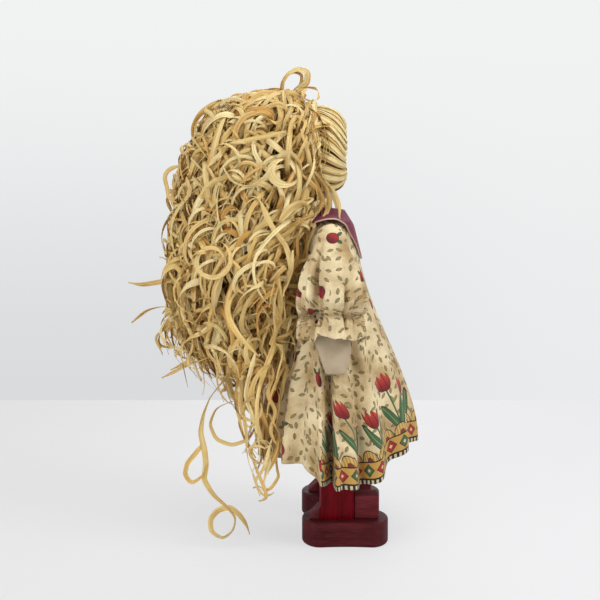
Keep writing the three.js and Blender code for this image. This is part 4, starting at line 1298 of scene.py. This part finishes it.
def clear_of_doll(points):
    """Moves points out of the wrapped head, the clothed body and the room that the arms swing in."""
    p = points.copy()
    radii = HEAD_RADII + HEAD_ROOM
    apart = (p - HEAD_PLACE) / radii
    inside = np.linalg.norm(apart, axis=1) < 1
    beside, behind_head = inside & (p[:, 1] < HEAD_SIDE_END), inside & (p[:, 1] >= HEAD_SIDE_END)
    left = 1 - apart[:, 1] ** 2 - apart[:, 2] ** 2
    p[beside, 0] = np.sign(p[beside, 0]) * radii[0] * np.sqrt(left[beside])
    left = 1 - apart[:, 0] ** 2 - apart[:, 2] ** 2
    p[behind_head, 1] = HEAD_PLACE[1] + radii[1] * np.sqrt(left[behind_head])
    top = SHOULDER_HEIGHT
    below_top = top - p[:, 2]
    along = np.where(p[:, 2] > top, below_top / YOKE_RISE, below_top / (top - HEM_LEVEL))
    near = (along > -1.25) & (along < 1.02)
    half, ahead, behind, square = smock_sizes(np.clip(along, -1, 1))
    room = SMOCK_ROOM + HEM_ROOM * np.clip(along, 0, 1)
    half, ahead, behind = half + room, ahead + room, behind + room
    middle = (behind - ahead) / 2
    x, y = p[:, 0] / half, (p[:, 1] - middle) / ((ahead + behind) / 2)
    filled = np.abs(x) ** (2 / square) + np.abs(y) ** (2 / square)
    push = near & (filled < 1)
    grow = np.maximum(filled[push], 0.02) ** (-square[push] / 2)
    p[push, 0] *= grow
    p[push, 1] = middle[push] + (p[push, 1] - middle[push]) * grow
    for _, side in SIDES:
        wx, wz = side * p[:, 0] - ARM_ACROSS, p[:, 2] - ARM_HEIGHT
        out = wx * math.cos(ARM_TILT) + wz * math.sin(ARM_TILT)
        down = wx * math.sin(ARM_TILT) - wz * math.cos(ARM_TILT)
        swung = np.interp(down, SLEEVE_ROOM[:, 0], SLEEVE_ROOM[:, 1])
        swung = swung + SWING_ROOM + np.maximum(down, 0) * 0.19
        beside_arm = (out > -4) & (out < 42) & (down > -14) & (down < 104)
        caught = beside_arm & (p[:, 1] < ARM_BACK + swung)
        p[caught, 1] = ARM_BACK + swung[caught]
    p[:, 2] = np.maximum(p[:, 2], FLOOR_ROOM)
    return p


def rolled(face, along, turn):
    """The face of a ribbon, rolled about its own line."""
    return face * np.cos(turn)[:, None] + np.cross(along, face) * np.sin(turn)[:, None]


def wander(rng, run, low, high):
    """A slow wave along the run with a random length and start."""
    return np.sin(2 * math.pi * run / rng.uniform(low, high) + rng.uniform(0, 2 * math.pi))


def fallen(rng, angle, forward, inset, end, curl, pitch, width, tilt, stray=0.0):
    """One ribbon from the crown. It follows the hair's outline at an inset and curls about an axis that
    stands partly out of the surface; forward brings it towards the face beside the head."""
    last = np.interp(-end, -HAIR_ROWS[1:, 0], HAIR_RUN[1:])
    winding = curl * 2 * math.pi / pitch
    count = int(np.clip(last * math.sqrt(1 + winding**2) / 2.7, 40, 260))
    run = np.linspace(rng.uniform(0, 12), last, count)
    height, back, wide, deep = (np.interp(run, HAIR_RUN, HAIR_ROWS[:, k]) for k in range(4))
    share = run / last
    reach = forward * step_between(run, 20, 60) * step_between(run, 190, 120)
    sway = np.radians(rng.uniform(4, 20)) * wander(rng, run, 120, 240) * step_between(run, 20, 110)
    around = np.radians(angle + reach) + sway
    out = np.stack([np.sin(around), np.cos(around), 0.25 * step_between(run, 120, 20)], 1)
    path = np.stack([wide * np.sin(around), back + deep * np.cos(around), height], 1)
    path += unit(out) * (stray * step_between(share, 0.7, 1.0) - inset * step_between(run, 4, 50))[:, None]
    down = unit(np.gradient(path, axis=0))
    level = unit(np.cross(out, down))
    lean, roll = rng.uniform(0.6, 1.5), rng.uniform(-1.1, 1.1)
    axis = unit(
        down * math.cos(lean) * 0.8
        + out * math.sin(lean) * math.cos(roll)
        + level * math.sin(lean) * math.sin(roll)
    )
    first = unit(np.cross(level + 0.3 * down, axis))
    second = np.cross(axis, first)
    rate = 2 * math.pi / pitch * (1 + 0.45 * wander(rng, run, 50, 120))
    if rng.random() < 0.45:
        rate *= np.tanh(4 * wander(rng, run, 140, 300))
    phase = rng.uniform(0, 6.3) + np.concatenate([[0], np.cumsum(rate[1:] * np.diff(run))])
    swell = step_between(run, 10, 60) * (0.8 + 0.35 * wander(rng, run, 80, 170))
    hook = first * np.cos(phase)[:, None] + second * np.sin(phase)[:, None]
    path = path + hook * (curl * swell)[:, None]
    path = eased(clear_of_doll(eased(clear_of_doll(path), 2)), 1)
    cone = tilt + 0.55 * wander(rng, run, 80, 190)
    standing = axis * np.where(np.sum(axis * out, 1) < 0, -1, 1)[:, None]
    facing = hook * np.cos(cone)[:, None] + standing * np.sin(cone)[:, None]
    early = step_between(run, 70, 15)[:, None]
    facing = facing * (1 - early) + out * early
    taper = (0.6 + 0.4 * step_between(run, 0, 30)) * (0.3 + 0.7 * step_between(share, 1.0, 0.93))
    return ribbon(path, facing, width * taper * (1 + 0.08 * wander(rng, run, 40, 90)))


def hank(index):
    """All the ribbons of one hank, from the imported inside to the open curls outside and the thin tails."""
    rng = np.random.default_rng(HANK_SEED + index)
    sector = HANK_SWEEP / HANK_COUNT
    middle = -HANK_SWEEP / 2 + (index + 0.5) * sector
    side_hank = index in (0, HANK_COUNT - 1)
    found, tones = [], []
    for number in range(TAILS):
        angle = middle + rng.uniform(-0.6, 0.6) * sector
        forward = math.copysign(rng.uniform(5, 48), middle) if side_hank else 0.0
        end = rng.uniform(HANK_MASS_END - 8, HANK_MASS_END + 52)
        if rng.random() < (0.36 if HANK_ENDS[index] < 60 else 0.2):
            end = rng.uniform(HANK_ENDS[index], HANK_MASS_END)
        stray, tilt = rng.uniform(-2, 9), rng.uniform(0.15, 1.0)
        if number < PACKED:
            # Painted shade: the packed ribbons deep inside a hank get dark tones.
            inset, curl, pitch = rng.uniform(10, 28), rng.uniform(2.5, 6), rng.uniform(28, 60)
            width, tone = rng.uniform(1.3, 3.0), rng.normal(0.28, 0.15)
        elif number < WAVED:
            curl, pitch = rng.uniform(7, 17), rng.uniform(34, 84)
            inset, width, tone = curl * rng.uniform(0.45, 1.0), rng.uniform(2.0, 5.0), rng.normal(0.7, 0.2)
            stray = rng.uniform(0, 18)
        elif number < COILED:
            curl, pitch = rng.uniform(8, 14), rng.uniform(17, 32)
            inset, width, tone = curl * rng.uniform(0.3, 0.75), rng.uniform(1.7, 4.0), rng.normal(0.76, 0.2)
            end += rng.uniform(0, 60)
        else:
            inset, curl, pitch = rng.uniform(0, 9), rng.uniform(3, 8), rng.uniform(36, 80)
            width, tone = rng.uniform(0.5, 1.2), rng.normal(0.7, 0.2)
        end = max(end, HANK_LOWEST)
        found.append(fallen(rng, angle, forward, inset, end, curl, pitch, width, tilt, stray))
        tones.append(float(np.clip(tone, 0, 1)))
    return found, tones


def laid(side, places, width, roll):
    """A ribbon laid over the hair on one side. Places are distances behind the legs and heights."""
    given = np.array(places, float)
    run = run_along(given)
    marks = np.linspace(0, run[-1], max(16, int(run[-1] / 2.2)))
    y, z = at_marks(given, run, marks).T
    back, wide, deep = (np.interp(-z, -HAIR_ROWS[1:, 0], HAIR_ROWS[1:, k]) for k in (1, 2, 3))
    across = np.sqrt(np.clip(1 - ((y - back) / deep) ** 2, 0.12, 1))
    wave = 2.2 * np.sin(marks / 13.0 + places[0][0])
    path = np.stack([side * (wide * across + LAID_LIFT + wave), y, z], 1)
    path = clear_of_doll(eased(path, 6))
    out = unit(np.array([float(side), 0.15, 0.1]) + 0 * path)
    turn = roll + 0.8 * np.sin(marks / 20.0 + 5 * width)
    taper = 0.4 + 0.6 * step_between(marks, 0, 9) * step_between(run[-1] - marks, 0, 12)
    return ribbon(path, rolled(out, unit(np.gradient(path, axis=0)), turn), width * taper)


def ring_places(back, height, radius, turns, start=0.0):
    """Places round an open ring that drifts a little, for a ribbon that is laid."""
    turn = start + np.linspace(0, 2 * math.pi * turns, 40)
    drift = np.linspace(-1, 1, 40)
    y, z = back + radius * np.cos(turn) + 2 * drift, height + radius * np.sin(turn) - 3 * drift
    return np.stack([y, z], 1)


# Ribbons that lie over the others on each side: hank counted from the front, width, roll and places
LAID = (
    (0, 6.2, 0.3, ((44, 247), (37, 257), (26, 263), (21, 258), (28, 248), (40, 240))),
    (0, 3.0, 0.2, ((16, 286), (2, 273), (-3, 262), (-2, 250))),
    (0, 4.0, -0.3, ((20, 288), (9, 277), (5, 266), (7, 256), (12, 248))),
    (0, 3.4, 0.4, ((28, 284), (16, 275), (10, 265), (15, 254))),
    (0, 6.4, 0.3, ring_places(39, 286, 11, 1.15, 0.6)),
    (0, 3.6, -0.4, ((28, 318), (22, 300), (20, 284), (12, 270), (8, 260))),
    (0, 3.4, 0.3, ((39, 315), (52, 311), (70, 308), (86, 303), (92, 292))),
    (1, 3.8, 0.5, ((86, 288), (80, 277), (67, 272), (55, 279), (47, 292))),
    (1, 3.6, -0.6, ring_places(94, 217, 13, 1.3, 2.0)),
    (1, 4.2, 0.3, ((46, 214), (43, 187), (46, 160), (58, 128), (64, 104), (56, 86))),
    (1, 3.8, 0.5, ((52, 140), (53, 127), (41, 119), (40, 109), (47, 94))),
    (1, 3.4, 0.3, ((72, 132), (74, 112), (70, 95), (68, 78), (74, 66))),
    (1, 3.0, -0.3, ((64, 128), (70, 108), (76, 94), (70, 80), (62, 70))),
    (1, 2.8, 0.5, ((60, 92), (66, 70), (58, 54), (52, 41), (60, 35))),
    (1, 2.4, -0.4, ((50, 84), (56, 62), (64, 50), (56, 39), (48, 44))),
    (1, 2.6, 0.3, ((70, 84), (68, 62), (60, 47), (66, 37))),
    (1, 2.6, 0.2, ((52, 104), (43, 84), (41, 60), (52, 45), (60, 48))),
    (1, 3.2, 0.4, ((62, 150), (70, 118), (62, 96), (58, 72), (66, 56), (59, 40))),
    (1, 4.4, 0.1, ((58, 262), (50, 244), (38, 228), (34, 206), (42, 190))),
    (2, 4.0, 0.4, ((111, 306), (114, 321), (108, 333), (97, 341), (84, 344), (66, 350), (56, 351))),
    (2, 3.4, 0.5, ((84, 338), (98, 340), (110, 330), (112, 318), (104, 312), (92, 318))),
    (1, 3.6, 0.3, ((34, 226), (36, 204), (42, 188), (38, 172), (44, 156), (40, 140))),
    (1, 3.2, -0.4, ((44, 178), (38, 160), (44, 146), (36, 132), (42, 118), (38, 104))),
    (1, 3.0, 0.4, ((56, 150), (48, 134), (54, 118), (46, 104), (52, 90), (46, 78))),
    (1, 2.6, 0.5, ring_places(58, 74, 9, 1.3, 0.4)),
    (1, 2.4, -0.5, ring_places(66, 104, 8, 1.4, 2.4)),
    (2, 3.4, 0.5, ((121, 292), (131, 290), (136, 283), (132, 276), (133, 266), (124, 263))),
    (2, 2.8, 0.6, ((118, 190), (128, 180), (140, 162), (132, 150), (116, 147))),
    (2, 2.4, 0.8, ((124, 170), (122, 150), (121, 136), (117, 118))),
    (2, 2.8, 0.3, ((96, 146), (112, 138), (126, 131), (138, 125))),
    (2, 2.6, 0.5, ((120, 178), (132, 172), (140, 160), (134, 149))),
    (2, 2.2, -0.5, ((118, 168), (134, 165), (144, 158), (137, 145))),
)


for index in range(HANK_COUNT):
    found, tones = hank(index)
    for number, (from_front, width, roll, places) in enumerate(LAID):
        if from_front in (index, HANK_COUNT - 1 - index):
            found.append(laid(-1 if index < HANK_COUNT // 2 else 1, places, width, roll))
            tones.append(0.55 + 0.4 * ((number * 7) % 10) / 10)
    raffia_piece(f"raffia_hank_{index + 1}", f"hair_hank_{index + 1}", found, tones)

# Crown knot and loose ribbons
# The hanks' tied middle sits on the crown under a few turns of raffia. A loop stands up from it, one long
# curl trails from the right side almost to the floor, and wisps stand out behind.
CROWN_BACK, KNOT_SEAT, LOOP_SEAT = 36.0, 343.7, 352.0
KNOT_TURNS, KNOT_ENDS, KNOT_SEED = 16, 20, 83
ACROSS, UP = (1, 0, 0), (0, 0, 1)


def traced(points, width, lie, steps=70, swing=0.0, roll=0.0):
    """A ribbon through given places, in millimetres from the leg line. It lies across one direction,
    rolled about its own line."""
    given = np.array(points, float)
    run = run_along(given)
    marks = np.linspace(0, run[-1], steps)
    path = eased(at_marks(given, run, marks), 10)
    along = unit(np.gradient(path, axis=0))
    face = unit(np.cross(np.array(lie, float), along))
    turn = roll + swing * np.sin(marks / 16.0 + 5 * width)
    taper = 0.35 + 0.65 * step_between(marks, 0, 8) * step_between(run[-1] - marks, 0, 12)
    return ribbon(path, rolled(face, along, turn), width * taper)


knot_ribbons = []
rng = np.random.default_rng(KNOT_SEED)
for turn_number in range(KNOT_TURNS):
    height = KNOT_SEAT - 1.0 + 0.42 * turn_number
    radius = 8.6 + 2.6 * math.sin(math.pi * (turn_number + 0.5) / KNOT_TURNS)
    start = rng.uniform(0, 6.3)
    turn = start + np.linspace(0, 2 * math.pi * 1.1, 50)
    rise = height + 1.0 * np.sin(turn * 2 + start)
    ring = np.stack([radius * np.sin(turn), CROWN_BACK + radius * np.cos(turn), rise], 1)
    away = np.stack([np.sin(turn), np.cos(turn), 0 * turn], 1)
    knot_ribbons.append(ribbon(ring, away, np.full(50, 2.6), 0.8))
for _ in range(KNOT_ENDS):
    way, reach = math.radians(rng.uniform(-120, 120)), rng.uniform(30, 62)
    share = np.linspace(0, 1, 64)
    far = reach * share
    bend = rng.uniform(4, 11) * np.sin(math.pi * rng.uniform(1.2, 2.6) * share + rng.uniform(0, 6.3)) * share
    x = far * math.sin(way) * 0.7 + bend * math.cos(way)
    y = far * math.cos(way) - bend * math.sin(way)
    dome = np.interp(np.hypot(y, 1.45 * x), (0, 9, 29, 49, 73), (351, 351, 350, 340, 325))
    arch = rng.uniform(0.5, 5) * np.sin(math.pi * np.minimum(share * 1.1, 1))
    path = np.stack([x, CROWN_BACK + y, dome + 0.5 + arch], 1)
    lie = unit(np.array([0.4 * math.sin(way), 0.4 * math.cos(way), 1.0]) + 0 * path)
    twist = rng.uniform(-0.7, 0.7) + 0.7 * np.sin(far / 9.0 + rng.uniform(0, 6.3))
    lie = rolled(lie, unit(np.gradient(path, axis=0)), twist)
    taper = 0.4 + 0.6 * step_between(share, 1.0, 0.85)
    knot_ribbons.append(ribbon(path, lie, rng.uniform(1.8, 4.2) * taper))
raffia_piece("crown_knot", "hair_crown_knot", knot_ribbons, rng.uniform(0.3, 0.95, len(knot_ribbons)))

loop_steps = [
    (-3, 7, -4), (-4, 7, 8), (-3, 2, 16), (0, -6, 20.2), (2, -14, 18), (3, -13, 9), (3, -5, 3), (3, -1, -4),
]
loop_at = [(x, CROWN_BACK + y, LOOP_SEAT + z) for x, y, z in loop_steps]
second_loop = [(x + 2.2, CROWN_BACK + y * 0.8 + 2, LOOP_SEAT + z * 0.9) for x, y, z in loop_steps]
loops = [
    traced(loop_at, 5.8, ACROSS, 70, 0.35, 1.0),
    traced(second_loop, 3.8, (1, 0.2, 0), 70, 0.5, -0.9),
]
raffia_piece("top_loop", "hair_top_loop", loops, [0.78, 0.55])

curl_at = [
    (-58, 80, 136), (-63, 87, 127), (-67, 96, 116), (-69, 101, 103), (-70, 103, 90), (-69, 100, 76),
    (-68, 99, 65), (-68, 101, 54), (-67, 94, 42), (-66, 84, 33), (-65, 77, 24), (-64, 79, 14), (-63, 87, 7),
    (-62, 96, 12), (-62, 97, 22), (-61, 91, 29), (-60, 82, 31), (-59, 74, 24), (-58, 69, 16), (-58, 67, 9),
]
side_loop_at = [
    (-69, 101, 82), (-70, 106, 75), (-71, 113, 67), (-70, 115, 58), (-69, 110, 51), (-68, 102, 56),
    (-68, 98, 66),
]
open_ring_at = [
    (-56, 60, 124), (-58, 70, 113), (-60, 80, 112), (-62, 92, 107), (-63, 97, 95), (-62, 92, 83),
    (-60, 80, 78), (-58, 68, 82), (-56, 62, 92), (-54, 64, 104),
]
curls = [
    traced(open_ring_at, 3.2, ACROSS, 90, 0.4, 0.6),
    traced(curl_at, 4.4, ACROSS, 190, 0.6, 0.8),
    traced(side_loop_at, 4.0, ACROSS, 60, 0.5, 0.8),
]
raffia_piece("trailing_curl", "hair_trailing_curl", curls, [0.62, 0.68, 0.66])

upper_start, lower_start = np.array([-31.5, 118.0, 200.0]), np.array([-30.5, 118.0, 173.5])
upper_steps = upper_start + np.array([(6, -10, 2), (-1, 10, 3), (-2, 22, 1), (-3, 34, -1), (-4, 44, 1)])
lower_steps = lower_start + np.array([(6, -10, 2), (-1, 8, 6), (-2, 18, 9), (-3, 30, 6), (-4, 42, -4)])
raffia_piece("upper_wisp", "hair_upper_wisp", [traced(upper_steps, 4.0, UP, 40, 0.8)], [0.75])
raffia_piece("lower_wisp", "hair_lower_wisp", [traced(lower_steps, 3.2, ACROSS, 40, 0.6, 0.7)], [0.5])

# Studio
# A pale table top with its far edge just behind the doll, in front of a white backdrop, under a large
# soft light in front of the doll, a weaker one behind it, one overhead and a fill on the far side.
FLOOR_DROP = 0.0002
FLOOR_GLOW, AIR_LIGHT = 0.72, 0.18
SOFTBOXES = (
    ("front_softbox", (-0.55, -1.0, 0.8), 0.6, 7.8),
    ("back_softbox", (-0.95, 0.75, 0.42), 0.8, 6.4),
    ("overhead_softbox", (-0.25, 0.0, 1.3), 0.8, 6.6),
    ("far_softbox", (1.0, -0.1, 0.75), 0.9, 4.5),
)


def mixed_shaders(share, first, second, end):
    """Mixes two shaders by a share and links them to the tree's end."""
    node = share.tree.nodes.new("ShaderNodeMixShader")
    fill(node.inputs, (share, first, second))
    fill([end], [Level(node.outputs[0])])


def table_top():
    """A pale matt table that also glows a little towards the camera, as in an overlit studio."""
    made, tree, shader = new_material("pale_table", 0.7)
    where = on_object(tree)
    finish(shader, Base_Color=tint(noise(where, 3.0, 3.0), srgb(228, 228, 229), srgb(234, 234, 235)))
    # Painted light: the glow is brighter towards one side of the table than the other.
    sheen = tint(ramp(parts(where)[1], -0.3, 0.3), srgb(241, 241, 243), srgb(233, 233, 233))
    glow = put(tree, "Emission", Color=sheen, Strength=1.0)
    seen = put(tree, "LightPath", (), "Is Camera Ray") * FLOOR_GLOW
    mixed_shaders(seen, Level(shader.outputs[0]), glow, tree.nodes["Material Output"].inputs["Surface"])
    return made


def studio_air():
    """A dim white world whose wall, where it is seen, grows lighter upwards and to one side."""
    world = bpy.data.worlds.new("studio_air")
    world.use_nodes = True
    tree = world.node_tree
    tree.nodes.clear()
    rays = put(tree, "LightPath", (), ("Is Camera Ray", "Is Glossy Ray", "Is Transmission Ray"))
    seen = calc("MAXIMUM", calc("MAXIMUM", rays[0], rays[1]), rays[2])
    _, sideways, upwards = parts(put(tree, "TexCoord", (), "Generated"))
    # Painted light: the wall is darker low down and to one side, lighter upwards.
    low_wall = tint(ramp(sideways, 0.1, -0.28), srgb(218, 219, 221), srgb(234, 235, 236))
    paint = tint(ramp(upwards, -0.16, 0.24), low_wall, srgb(241, 242, 242))
    air = put(tree, "Background", Color=(1, 1, 1, 1), Strength=AIR_LIGHT)
    wall = put(tree, "Background", Color=paint, Strength=1.0)
    mixed_shaders(seen, air, wall, tree.nodes.new("ShaderNodeOutputWorld").inputs[0])
    return world


bpy.ops.mesh.primitive_plane_add(size=1, location=(-0.67, 0, -FLOOR_DROP))
bpy.context.object.scale = (2.66, 4.0, 1)
floor = added("table_top")
floor.data.materials.append(table_top())
bpy.context.scene.world = studio_air()

aim = Vector((0, -0.02, 0.18))
for name, spot, size, power in SOFTBOXES:
    bpy.ops.object.light_add(type="AREA", location=spot)
    lamp = bpy.context.object
    lamp.name = name
    lamp.data.size = size
    lamp.data.energy = power
    lamp.rotation_euler = (aim - Vector(spot)).to_track_quat("-Z", "Y").to_euler()

bpy.context.scene.view_settings.view_transform = "Standard"
